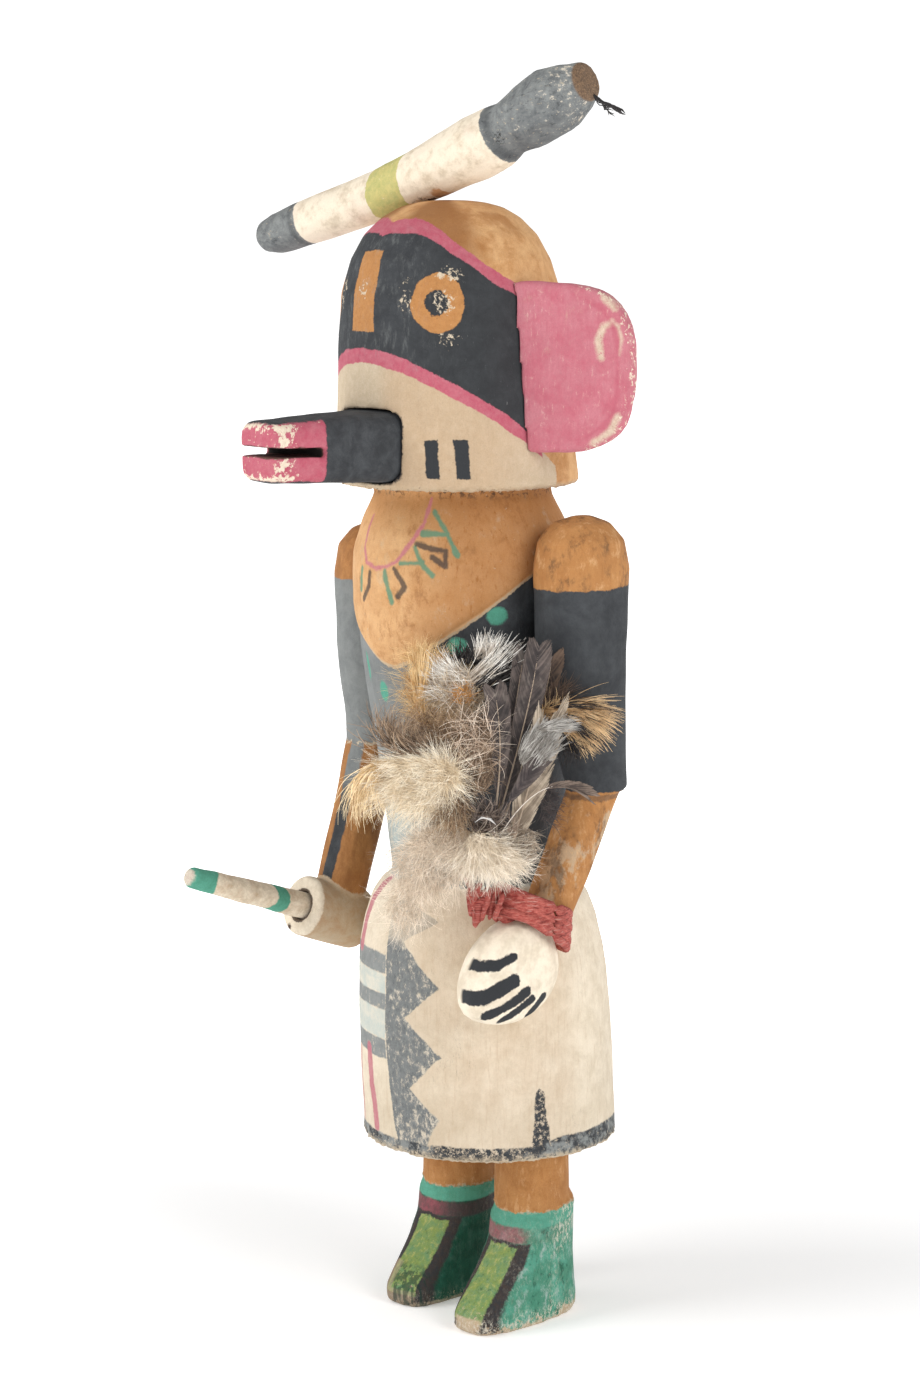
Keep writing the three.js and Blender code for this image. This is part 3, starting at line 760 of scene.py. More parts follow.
def kilt_finish():
    f = Finish("kilt paint")
    around = f.azimuth(lean_at(f.z))
    across = around * KILT_ARC
    f.coat(f.mottled("white", "stained_white", 0.09, 0.65))
    # Painted shade: the clay darkens toward the bare-wood colour, in patches, on the kilt between its front
    # and its left side.
    kilt_shade = f.ramp(f.clouds(0.12, 5.0, 0.7), 0.35, 0.65) * 0.16 + 0.14
    f.coat("wood", f.ramp(abs(around - 52), 50, 32) * kilt_shade)
    # Stained clay in flaked spots, a little darker toward the hem, and as painted shade across the front.
    front = f.ramp(around, 50, 20) * f.ramp(around, -30, 5)
    f.coat("stained_white", f.flakes(0.08, 0.5) * 0.3 + f.ramp(f.z, 62, 50) * 0.2 + front * 0.3)
    grain = f.brushed(0.1, 1.5, 4.0, 0.7)
    f.coat(f.mottled("wood", "stained_white", 0.4), f.ramp(grain, 0.5, 0.72) * 0.28)
    seam = f.curve(f.z, [(44, 5), (50, 3), (60, 0.6), (68, -1), (93, -1), (104, -4)])
    saw_line = [(43, 20), (47, 22), (53, 27), (59.6, 12.6), (68.2, 29)]
    saw_line += [(76.6, 11.6), (84.8, 29.4), (94.6, 9.4), (100, 28), (105, 6)]
    reach = f.curve(f.z, saw_line, "VECTOR")
    teeth = f.least((reach - around) * KILT_ARC * 0.75, (around - seam) * KILT_ARC, f.z - 44.5)
    saw = f.blend(f.mottled("chalk", "pale_slate", 0.35, 0.6), paint("pale_slate"), 0.3)
    faded = f.ramp(f.z, 92.5, 96.5)
    saw_mask = f.worn(teeth, 0.3) * (1 - faded * 0.58)
    f.coat(saw, saw_mask)
    rubbed = f.brushed(0.6, 0.8, 6.0, 0.8)
    near_tip = f.ramp(reach - around, 9, 1) * 0.05
    loss = f.ramp(rubbed + near_tip + f.ramp(f.z, 62, 50) * 0.05, 0.53, 0.68)
    f.coat(f.mottled("white", "stained_white", 0.2), loss * saw_mask * 0.8)
    f.coat("slate", f.ramp(rubbed, 0.44, 0.36) * saw_mask * 0.4)
    panel = (seam - around) * KILT_ARC
    stripes = [(86.0, 90.8), (77.3, 81.3), (65.4, 70.2)]
    stripe_paint = f.mottled("chalk", "pale_slate", 0.25, 0.4)
    stripe_left = 1 - f.ramp(rubbed, 0.55, 0.7) * 0.7
    blocks = [(81.3, 86.0), (70.2, 77.3)]
    block_paint = f.mottled("sky", "white", 0.15)
    for levels, colour, left in ((stripes, stripe_paint, stripe_left), (blocks, block_paint, 0.85)):
        for low, high in levels:
            inside = f.least(f.band(f.z, low, high), panel, (around + 44) * KILT_ARC)
            f.coat(colour, f.worn(inside, 0.4) * left)
    rose = f.mottled("rose", "deep_rose", 0.3)
    lines = [
        ([(-17, 66.5), (-14, 56), (-12, 47.5)], 2.8),
        ([(-25.5, 106), (-28.5, 98.5), (-29.5, 91)], 4.4),
        ([(-31, 65), (-32, 46)], 1.2),
    ]
    depths = [f.strokes(across, f.z, round_points(line, KILT_ARC), wide) for line, wide in lines]
    f.coat(rose, f.worn(f.most(*depths), 0.5) * 0.9)
    spike_half = f.least((60.6 - f.z) * 1.2, (71 - f.z) * 0.095)
    spike = f.least(spike_half - abs((around - 73.5) * KILT_ARC), f.z - 45)
    spike = f.most(spike, f.least(spike_half + 0.2 - abs((around + 73.5) * KILT_ARC), f.z - 45))
    speckle = f.ramp(f.clouds(1.1, 5.0, 0.8), 0.5, 0.6)
    f.coat(f.mottled("slate", "pale_slate", 0.4), f.worn(spike, 0.3) * (1 - speckle * 0.85))
    solid = f.ramp(around, 66, 86) * f.ramp(around, 176, 130)
    hem = f.band(f.z, 43.5, 46.5 + solid * 1.6)
    broken = f.ramp(f.clouds(0.9, 6.0, 0.8) - solid * 0.08 - f.ramp(around, 8, -12) * 0.04, 0.49, 0.6)
    hem_mask = f.worn(hem, 0.4) * (1 - broken * 0.9)
    faint = f.ramp(f.clouds(0.3, 5.0, 0.7), 0.4, 0.58) * f.ramp(abs(around - 45), 12, 30) * 0.9
    hem_paint = f.blend(f.mottled("slate", "pale_slate", 0.4), paint("chalk"), faint)
    f.coat(hem_paint, hem_mask)
    scuffed = f.ramp(f.clouds(0.6, 5.0, 0.8), 0.42, 0.56)
    f.coat("stained_white", f.ramp(f.z + f.wander * 1.6, 45.0, 43.6) * scuffed * 0.8)
    f.coat(f.mottled("wood", "stained_white", 0.5), f.ramp(f.z + f.wander, 43.6, 42.9) * f.flakes(0.32, 0.7))
    cracks = f.brushed((0.9, 0.9, 0.12), 0.55, 4.0, 0.6)
    crack = f.ramp(abs(cracks - 0.5), 0.004, 0.0) * f.ramp(f.clouds(0.05, 1.0), 0.58, 0.66)
    f.coat("dirt", crack * 0.5)
    waist = f.ramp(f.z + f.wander, WAIST - 1.0, WAIST + 0.2)
    f.coat(f.mottled("sky", "chalk", 0.1), waist * 0.8)
    return f.finish(blotch=0.07, speck=0.07)


def boot_finish():
    f = Finish("boot paint")
    left = f.ramp(f.x, -0.2, 0.2)
    f.coat(f.mottled("ochre", "deep_ochre", 0.09, 1.0))
    smears = f.brushed(0.4, 0.5, 5.0, 0.75)
    f.coat("deep_ochre", f.ramp(smears, 0.5, 0.66) * 0.55)
    f.coat("pale_ochre", f.ramp(smears, 0.46, 0.34) * 0.45)
    places = []
    for foot in FEET:
        turn = math.radians(foot["turn"])
        off_x, off_y = f.x - foot["x"], f.y - foot["y"]
        u = off_x * math.cos(turn) + off_y * math.sin(turn)
        v = off_y * math.cos(turn) - off_x * math.sin(turn)
        places.append((u, v))
    u, v = [on_left * left + on_right * (1 - left) for on_left, on_right in zip(*places)]
    outer = u * (left * 2 - 1)
    rim = v * 0.08 + BOOT_TOP + f.wander * 0.5
    below = rim - f.z
    leather = f.blend(paint("dark_green"), paint("green"), left)
    patches = f.ramp(f.clouds(0.22, 4.0, 0.6), 0.4, 0.6)
    leather = f.blend(leather, paint("turquoise"), patches * (left * 0.55 + 0.12))
    shaft = f.worn(below, 0.4)
    f.coat(leather, shaft)
    brushed = f.brushed(0.6, 0.34, 6.0, 0.75)
    f.coat("sky", f.ramp(brushed, 0.52, 0.66) * shaft * (left * 0.55 + 0.08))
    f.coat("dark_green", f.ramp(brushed, 0.47, 0.34) * shaft * 0.75)
    f.coat(f.mottled("turquoise", "green", 0.25), f.worn(f.band(below, 0, 3.4), 0.4))
    gaps = f.ramp(f.clouds(0.6, 4.0, 0.7), 0.42, 0.6)
    f.coat("stained_white", f.worn(0.25 - abs(below + 0.2), 0.5) * gaps * 0.8)
    fade = 1 - f.ramp(outer + f.wander * 3, 3.4, 6.4) * (left * 0.7 + 0.2)
    darker = (1 - left) * f.ramp(outer, 2, -6) * 0.7 + 0.12
    mauve = f.blend(f.mottled("deep_rose", "slate", 0.4), paint("slate"), darker)
    f.coat(mauve, f.worn(f.band(below, 3.5, 7.1), 0.6) * fade * 0.74)
    forward = 0 - v
    front = forward - f.curve(f.z, [(0, 4), (6, 3), (14, 2.4), (24, 2)])
    instep = f.least(below - 6.9, front)
    stripe = f.least(f.band(abs(u), 0.0, 6.8), instep)
    f.coat(f.mottled("slate", "dirt", 0.3), f.worn(stripe, 0.4))
    panel = f.least(4.3 - abs(u), instep - 0.9, f.z - 3.2)
    instep_panel = f.worn(panel, 0.4)
    f.coat(f.mottled("leaf", "green", 0.2), instep_panel)
    strokes = f.brushed(0.3, 0.8, 5.0, 0.75)
    f.coat("mustard", f.ramp(strokes, 0.5, 0.68) * instep_panel * 0.55)
    f.coat("dark_green", f.ramp(strokes, 0.45, 0.3) * instep_panel * 0.7)
    heel_rise = f.ramp(v, -2, 9) * 2.0
    ragged = (f.clouds(0.28, 6.0, 0.75) - 0.5) * 12
    sole = heel_rise + 1.3 + ragged * (left * 0.7 + 0.3) - f.z
    toe = forward + f.wander - 23.4
    split_toe = f.least(forward - 17.5, -2.6 - u, 9.4 - f.z + f.wander, 8 - left * 20)
    bare = f.ramp(f.most(sole, f.least(toe, 4.2 - f.z), split_toe), -0.3, 0.3)
    chips = f.flakes(f.ramp(f.most(sole, toe), -5, 0) * 0.2 + f.edge * 0.3, 1.2) * f.worn(below - 1, 0.4)
    worn_sole = f.mottled("stained_white", "wood", 0.4)
    f.coat(worn_sole, f.most(bare * (left * 0.45 + 0.5), chips))
    scumble = f.brushed(0.5, 1.5, 6.0, 0.85)
    drift = f.ramp(f.clouds(0.16, 3.0), 0.42, 0.6)
    where = f.ramp(sole, -4.0, -0.4) * 0.8 + f.ramp(v, -5, 3) * f.ramp(f.z, 13, 22) * (drift * 0.7 + 0.2)
    where = where + f.ramp(abs(front), 3, 0) * 0.3 + drift * 0.12
    specks = f.ramp(scumble, 0.48, 0.6) * f.least(where + 0.02, 0.9)
    painted = shaft * (left * 0.8 + 0.2)
    f.coat(f.mottled("white", "sky", 0.3), specks * painted)
    # Painted shade, in streaks, in the notch of the right boot's toe.
    grooves = f.ramp(f.brushed((1.2, 1.2, 0.1), 0.7, 3.0), 0.44, 0.56)
    in_toe = f.least(forward - 19, u + 3, 6.5 - u, 9 - f.z, 8 - left * 20)
    f.coat(DARKS["toe notch shade"], grooves * f.worn(in_toe, 1.6) * 0.7)
    return f.finish(blotch=0.14, speck=0.14)


def build_figure():
    mesh = carve("painted_root", "figure", bpy.context.scene.doll_sizes.grain, 3)
    round_off(mesh)
    marks = bpy.context.scene.doll_sizes.knife
    knife(mesh, marks, wave=9.0, seed=3.0, limit=lambda p: (p[:, 2] > SOLE).astype(float))
    edges = [(MASK["low"], 1.6), (COLLAR, 1.6), (HEM + 0.6, 1.8), (BOOT_TOP + 0.1, 1.2)]
    crumble(mesh, edges, depth=0.55, wave=1.3, seed=4.0)
    finishes = [mask_finish(), trunk_finish(), kilt_finish(), boot_finish()]

    def choose(centres):
        z = centres[:, 2]
        return np.select([z > MASK["low"] - 0.6, z > WAIST, z > HEM - 0.4], [0, 1, 2], 3)

    share_slots(mesh, finishes, choose)
    add_piece("painted_root", mesh, "painted_root", "figure")


# ---------- pieces fastened to the head ----------

EAR = {"x": 28.6, "y": -9.0, "z": 229.2, "sweep": 29.0, "out": 23.2, "half": 19.3, "power": 3.1}
SNOUT = {"pink": -54.0, "tip": -66.8, "middle": 210.9}
BAR_MIDDLE = (-6.7, -12.0, 273.0)
BAR_ENDS = ((-60.4, -20.4, 257.6), (40.0, -4.6, 293.2))
CLUB = {"from": 25, "to": 51, "facets": 7, "twist": 0.012, "cut": 0.75}
BAR_RUN = Vector(BAR_ENDS[1]) - Vector(BAR_ENDS[0])


def ear_finish():
    f = Finish("ear paint")
    sweep = math.radians(EAR["sweep"])
    off_x = abs(f.x) - EAR["x"]
    off_y = f.y - EAR["y"]
    out = off_x * math.cos(sweep) + off_y * math.sin(sweep)
    up = f.z - EAR["z"]
    front = off_x * math.sin(sweep) - off_y * math.cos(sweep)
    share_out = f.math("POWER", f.most(out / EAR["out"], 0.0), EAR["power"])
    share_up = f.math("POWER", abs(up) / EAR["half"], EAR["power"])
    full = f.math("POWER", share_out + share_up, 1 / EAR["power"])
    inside = (1 - full) * 20
    f.coat(f.mottled("rose", "deep_rose", 0.12, 0.6))
    f.coat("deep_rose", f.ramp(f.clouds(0.2, 5.0, 0.7), 0.45, 0.7) * 0.4 + 0.1)
    brushed = f.brushed(0.5, 0.3, 6.0, 0.8)
    f.coat("stained_white", f.ramp(brushed, 0.54, 0.72) * f.ramp(up, -4, 8) * f.ramp(out, 16, 4) * 0.4)
    f.coat("white", f.ramp(f.clouds(0.35, 6.0, 0.75), 0.58, 0.78) * 0.4)
    scratches = f.brushed((1.4, 1.4, 0.3), 0.9, 6.0, 0.8)
    f.coat("deep_rose", f.ramp(scratches, 0.5, 0.66) * 0.3)
    f.coat("white", f.ramp(scratches, 0.42, 0.32) * 0.3)
    groove = f.band(inside + f.wander * 0.5, 2.3, 3.3)
    hooks = [
        f.strokes(out, up, [(15.9, 2.6), (15.1, 6.4), (16.5, 9.4), (18.4, 10.6)], 1.5),
        f.strokes(out, up, [(18.4, 10.6), (20.0, 9.4), (20.7, 6.6), (20.2, 3.2)], 0.7),
        f.strokes(out, up, [(19.8, -10.6), (18.4, -14.0), (14.2, -16.6)], 1.5),
        f.stroke(out, up, (16.4, 16.0), (19.0, 13.4), 1.4),
    ]
    rubbed = 1 - f.flakes(0.2, 1.3) * 0.9
    f.coat(f.mottled("stained_white", "white", 0.4), f.worn(f.most(*hooks), 0.9) * 0.8 * rubbed)
    f.coat("deep_rose", f.worn(groove, 0.6) * 0.45 * f.ramp(out, 9, 15))
    rim_wear = f.ramp(inside, 2.6, 0.2) * f.ramp(out, 4, 12) * 0.24
    f.coat(f.mottled("white", "stained_white", 0.8), f.flakes(f.edge * 0.3 + rim_wear + 0.02, 0.8) * 0.9)
    # Painted shade in the seam where the ear meets the head.
    seam = f.ramp(out + f.wander * 0.6, -4.6, -5.4)
    f.coat("dirt", seam * 0.8)
    back = f.ramp(front, -1.4, -2.0)
    f.coat(f.mottled("rose", "deep_rose", 0.2), back * 0.5)
    return f.finish(blotch=0.12, speck=0.12)


def build_ears():
    finish = ear_finish()
    grain = bpy.context.scene.doll_sizes.fine_grain
    for node, seed in (("left_ear", 5.0), ("right_ear", 11.0)):
        add_carving(node, "ear_paint", finish, grain, 3, (0.0003, 7.0, seed))


def snout_finish():
    f = Finish("snout paint")
    f.coat(f.mottled("slate", "pale_slate", 0.16))
    scratches = f.scratches((1, 0.3, 1), 0.07, 1.4)
    f.coat("pale_slate", scratches * 0.6)
    share = f.ramp(f.y, -30, SNOUT["tip"])
    top = 219.4 - share * 2.0
    low = share * 1.8 + 202.9
    lips = f.least(SNOUT["pink"] - f.y, top - f.z, f.z - low)
    lip_mask = f.worn(lips, 0.35)
    f.coat(f.mottled("deep_rose", "rose", 0.2), lip_mask)
    near_tip = f.ramp(f.y, -60.5, -66.0)
    corner = f.ramp(abs(abs(f.x) - 7.4), 1.6, 0.2) * f.ramp(f.y, -58, -62)
    rims = f.ramp(f.z, 214.5, 217.2) + f.ramp(f.z, 206.8, 204.6)
    worn = near_tip * 0.17 + corner * 0.18 + f.edge * 0.2 + rims * near_tip * 0.12 + rims * 0.1
    f.coat(f.mottled("white", "stained_white", 0.8), f.flakes(worn + 0.01, 0.7) * lip_mask * 0.95)
    f.coat(f.mottled("wood", "stained_white", 0.7), f.flakes(f.edge * 0.2 + near_tip * 0.1 + 0.03, 1.4))
    # Painted shade inside the mouth slot: dark brown all along it, and near-black deeper in, back from the
    # tip.
    slot = f.least(1.25 - abs(f.z - SNOUT["middle"] + (f.y + 60) * 0.02), -53 - f.y)
    inner = f.least(slot, 7.6 - abs(f.x))
    f.coat("dirt", f.worn(inner, 0.3) * 0.9)
    f.coat(DARKS["mouth"], f.worn(inner - 0.4, 0.5) * f.ramp(f.y, -64, -61))
    return f.finish(blotch=0.12, speck=0.12)


def build_snout():
    grain = bpy.context.scene.doll_sizes.fine_grain * SMALLEST
    add_carving("snout", "snout_paint", snout_finish(), grain, 3, (0.0002, 6.0, 2.0))


def bar_along(points):
    """How far points lie along the crown bar from its middle."""
    return (points - np.array(BAR_MIDDLE)) @ np.array(BAR_RUN.normalized())


def bar_finish():
    f = Finish("crown bar paint")
    run = BAR_RUN.normalized()
    offsets = [f.x - BAR_MIDDLE[0], f.y - BAR_MIDDLE[1], f.z - BAR_MIDDLE[2]]
    along = offsets[0] * run.x + offsets[1] * run.y + offsets[2] * run.z
    level = offsets[2] - along * 0.33
    f.coat("white")
    f.coat("stained_white", f.ramp(f.clouds(0.22, 5.0, 0.7), 0.42, 0.75) * 0.9)
    f.coat("rose", f.ramp(f.clouds(0.12, 4.0), 0.55, 0.8) * 0.12)
    f.coat(f.mottled("mustard", "leaf", 0.35), f.worn(f.band(along - level * 0.3, -15.4, -4.3), 0.3) * 0.92)
    f.coat("white", f.flakes(0.15, 0.6) * f.ramp(abs(along + 9), 6, 2) * 0.5)
    f.coat("white", f.flakes(0.07, 1.0) * 0.6)
    below = 268.4 - f.z + along * 0.33
    f.coat("ochre", f.worn(f.least(f.band(along, 1.4, 5.0), below - 0.6), 0.4) * 0.8)
    f.coat("dirt", f.worn(f.least(f.band(along, -5.0, 1.5), below - 0.6), 0.8) * f.flakes(0.3, 0.7) * 0.8)
    # Painted shade and light: the club's slate is darker underneath and paler on top.
    under = f.ramp(level, 3, -5) * 0.4 + 0.1
    slate = f.blend(f.mottled("chalk", "pale_slate", 0.16, 1.0), paint("pale_slate"), under)
    bulge = along + level * 0.12
    dark = f.worn(f.most(-40.1 - along, bulge - 23.7), 0.3)
    f.coat(slate, dark)
    f.coat("stained_white", f.scratches((0.5, 1, 1), 0.15, 1.1) * dark * 0.7)
    rubbed = f.brushed((0.4, 1, 1), 0.7, 6.0, 0.8)
    f.coat("white", f.ramp(rubbed + f.ramp(along, 38, 46) * 0.06, 0.6, 0.7) * dark * 0.7)
    f.coat("slate", f.ramp(rubbed, 0.44, 0.34) * dark * 0.6)
    edge_dark = f.ramp(abs(along + 41.6), 1.4, 0.2) + f.ramp(abs(bulge - 25.4), 2.0, 0.2)
    f.coat("slate", edge_dark * dark * 0.4)
    peg = f.worn(1.2 - f.length(along - 27.5, level + 1.5), 0.8)
    f.coat(DARKS["peg"], peg * f.flakes(0.3, 2.2))
    sawn = f.ramp(along, 50.2, 50.8)
    f.coat(f.mottled("dirt", "wood", 1.2), sawn * 0.92)
    return f.finish(blotch=0.07, speck=0.08)


def build_crown_bar():
    mesh = carve("crown_bar_paint", "crown_bar", bpy.context.scene.doll_sizes.fine_grain, 2)
    points = points_of(mesh)
    run = np.array(BAR_RUN.normalized())
    along = bar_along(points)
    sheer = np.cross(run, (0, 1, 0))
    sheer /= np.linalg.norm(sheer)
    level = np.cross(sheer, run)
    club = along > CLUB["from"]
    shift = points[club] - np.array(BAR_MIDDLE)
    u, v = shift @ sheer, shift @ level
    middle_u, middle_v = (u.max() + u.min()) / 2, (v.max() + v.min()) / 2
    course = math.tau / CLUB["facets"]
    off = np.mod(np.arctan2(v - middle_v, u - middle_u) + along[club] * CLUB["twist"], course) - course / 2
    start = np.clip((along[club] - CLUB["from"]) / 6, 0, 1)
    pull = (1 - math.cos(course / 2) / np.cos(off)) * CLUB["cut"] * start
    fade = np.clip((CLUB["to"] - along[club]) / 3, 0, 1)
    radial = sheer[None, :] * (u - middle_u)[:, None] + level[None, :] * (v - middle_v)[:, None]
    points[club] -= radial * (pull * fade * 0.9)[:, None]
    set_points(mesh, points)
    knife(mesh, 0.00035, wave=8.0, seed=7.0)
    mesh.materials.append(bar_finish())
    add_piece("crown_bar_paint", mesh, "bar_paint", "crown_bar")
    build_thread()


def build_thread():
    """A twist of dark thread, with one frayed end."""
    low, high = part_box("thread_wisp")
    start = (Vector((low.x, (low.y + high.y) / 2 - 0.0012, high.z)) - AXIS) / MM
    dice = random.Random(8)
    tangle = Barbs()
    for strand in range(9):
        reach = dice.uniform(2.5, 7.0) if strand > 2 else 7.2
        line = []
        for step in range(9):
            share = step / 8
            sway = Vector((0, math.sin(share * 9 + strand * 2.1), math.cos(share * 8 + strand)))
            drop = Vector((reach * share, 2.6 * share, -4.0 * share**0.8))
            loose = sway * (0.42 if reach > 7 else 0.7) * (0.4 + 0.6 * share)
            line.append(start + drop + loose)
        tangle.cord(np.array([list(p) for p in line]), 0.26 if strand < 3 else 0.13)
    finish = Finish("dark thread")
    finish.coat(finish.blend(DARKS["thread"], DARKS["worn thread"], finish.clouds(2.0)))
    mesh = tangle.mesh("dark_thread", [finish.finish(blotch=0.2)], None)
    add_piece("dark_thread", mesh, "thread", "thread_wisp")


# ---------- arms and wand ----------

FIST = (-34.0, -21.1, 94.0)
WAND_TILT = math.radians(19)


def wand_along(f):
    return (FIST[1] - f.y) * math.cos(WAND_TILT) + (f.z - FIST[2]) * math.sin(WAND_TILT)


def left_arm_finish():
    f = Finish("left arm paint")
    f.coat(f.mottled("ochre", "deep_ochre", 0.07))
    rub = f.brushed(0.6, 0.16, 5.0, 0.65)
    f.coat("deep_ochre", f.ramp(f.brushed(0.35, 0.5, 5.0, 0.7), 0.45, 0.7) * 0.5)
    f.coat("stained_white", f.ramp(rub, 0.52, 0.6) * f.ramp(f.z, 131, 127) * f.ramp(f.x, 30, 40) * 0.6)
    rough = f.brushed(0.6, 0.24, 6.0, 0.75)
    f.coat("dirt", f.ramp(rough, 0.48, 0.62) * f.ramp(rub, 0.36, 0.56) * 0.6)
    f.coat("pale_ochre", f.ramp(rough, 0.46, 0.32) * 0.6)
    sleeve = f.least(179.4 - f.z + (f.y + 1) * 0.03, f.z - 131.6)
    f.coat(f.mottled("slate", "pale_slate", 0.05), f.worn(sleeve, 0.3))
    scratches = f.flakes(0.04, 0.6)
    f.coat("pale_slate", scratches * f.worn(sleeve, 0.3) * 0.6)
    cuff = f.worn(1.4 - abs(f.z - 131.2 + (f.x - 34) * 0.04), 0.3)
    f.coat(DARKS["cuff"], cuff * f.ramp(f.z, 131.4, 130.6) * 0.5)
    palm = 101.6 - f.z - (f.y + 14.5) * 0.5
    stain = f.ramp(f.clouds(0.2, 5.0, 0.7), 0.4, 0.65) * 0.5
    bone = f.blend(display(240, 227, 206), paint("stained_white"), stain)
    f.coat(bone, f.worn(palm, 0.3))
    outer = f.ramp(f.x, 32.4, 33.6)
    fingers = [
        ([(-38.8, 93.0), (-36.4, 93.4), (-33.6, 94.8), (-30, 95.2), (-25.6, 96.8)], 2.2),
        ([(-35.8, 87.8), (-33.1, 88.4), (-25.6, 91.2)], 3.4),
        ([(-32.0, 83.8), (-28, 85.4), (-21.8, 88.0)], 2.5),
        ([(-27.8, 82.2), (-24.8, 83.8), (-20.2, 86.2)], 2.2),
        ([(-20.0, 82.4), (-16.6, 86.0)], 2.4),
        ([(-30.8, 102.5), (-28.9, 103.1)], 0.7),
    ]
    depth = f.most(*[f.strokes(f.y, f.z, points, wide) for points, wide in fingers])
    f.coat("slate", f.worn(depth, 0.3) * outer)
    f.coat("dirt", f.flakes(0.0, 1.3) * f.worn(palm, 0.3))
    return f.finish(blotch=0.1, speck=0.08)


def right_arm_finish():
    f = Finish("right arm paint")
    f.coat(f.mottled("ochre", "deep_ochre", 0.09))
    rough = f.brushed(0.5, 0.24, 6.0, 0.75)
    f.coat(f.blend(paint("deep_ochre"), paint("dirt"), 0.3), f.ramp(rough, 0.34, 0.62) * 0.7)
    centre_y = -6 - (135 - f.z) * 0.34
    around = f.math("DEGREES", f.math("ARCTAN2", f.x + 34.3, centre_y - f.y))
    upper = f.least(175.8 - f.z, f.z - 135.5)
    front = f.least(f.band(around, -6, 27) * 0.12, 136 - f.z)
    slate = f.most(upper, front)
    # Painted light: the slate turns paler and whiter on the side of the sleeve that faces the light.
    painted_lit_side = f.mottled("chalk", "pale_slate", 0.12, 0.5)
    lit = f.ramp(around, -60, -20) * f.ramp(around, 80, 40) * f.ramp(f.z, 120, 130)
    f.coat(f.blend(f.mottled("slate", "pale_slate", 0.12), painted_lit_side, lit * 0.85), f.worn(slate, 0.4))
    f.coat("stained_white", f.worn(0.5 - abs(f.z - 135.4), 0.5) * f.flakes(0.3, 0.8))
    along = wand_along(f)
    off_up = (f.y - FIST[1]) * math.sin(WAND_TILT) + (f.z - FIST[2]) * math.cos(WAND_TILT)
    radius = f.length(f.x - FIST[0], off_up)
    fist = f.least(8.3 - radius, 11 - abs(along))
    f.coat(f.mottled("stained_white", "wood", 0.12, 0.9), f.worn(fist, 0.3))
    face = f.worn(f.least(along - 8.4, 9 - radius), 0.4)
    f.coat(f.mottled("white", "stained_white", 0.2), face)
    # Painted shade in the socket round the wand, on the fist's front face.
    f.coat("dirt", f.worn(f.least(4.15 - radius, along - 7), 0.25) * 0.9)
    f.coat("dirt", f.worn(0.75 - f.length(f.x + 36.6, f.z - 91.5), 0.5) * f.ramp(along, 7, 8.5))
    return f.finish(blotch=0.1, speck=0.1)


def build_arms():
    grain = bpy.context.scene.doll_sizes.fine_grain
    for node, finish, seed in (("left_arm", left_arm_finish, 13.0), ("right_arm", right_arm_finish, 17.0)):
        add_carving(node, "arm_paint", finish(), grain, 6, (0.0003, 9.0, seed))


def wand_finish():
    f = Finish("wand paint")
    f.coat(f.mottled("white", "stained_white", 0.3, 1.0))
    f.coat("wood", f.ramp(f.clouds(0.2, 4.0, 0.7), 0.45, 0.7) * 0.5)
    along = wand_along(f)
    curved = abs(f.x - FIST[0]) * 0.55
    ring = f.band(along + curved, 17.2, 21.0)
    tip = along - curved * 0.9 - 36.6
    mineral = f.mottled("turquoise", "green", 0.5)
    f.coat(mineral, f.worn(f.most(ring, tip), 0.4))
    f.coat(f.mottled("white", "rose", 1.0), f.ramp(along + f.wander, 44.0, 44.8) * 0.8)
    f.coat("dirt", f.flakes(0.02, 1.2) * 0.6)
    return f.finish(blotch=0.08, speck=0.14)


def build_wand():
    grain = bpy.context.scene.doll_sizes.fine_grain * SMALLEST
    add_carving("wand", "wand_paint", wand_finish(), grain, 4, (0.00022, 5.0, 19.0))


# ---------- ribbons, cords and barbs ----------


def bend_through(points, count):
    """Even steps along a Bezier curve of any number of control points."""
    points = np.array(points, float)
    order = len(points) - 1
    share = np.linspace(0, 1, count)[:, None]
    total = np.zeros((count, points.shape[1]))
    for k, point in enumerate(points):
        total += math.comb(order, k) * (1 - share) ** (order - k) * share**k * point
    return total


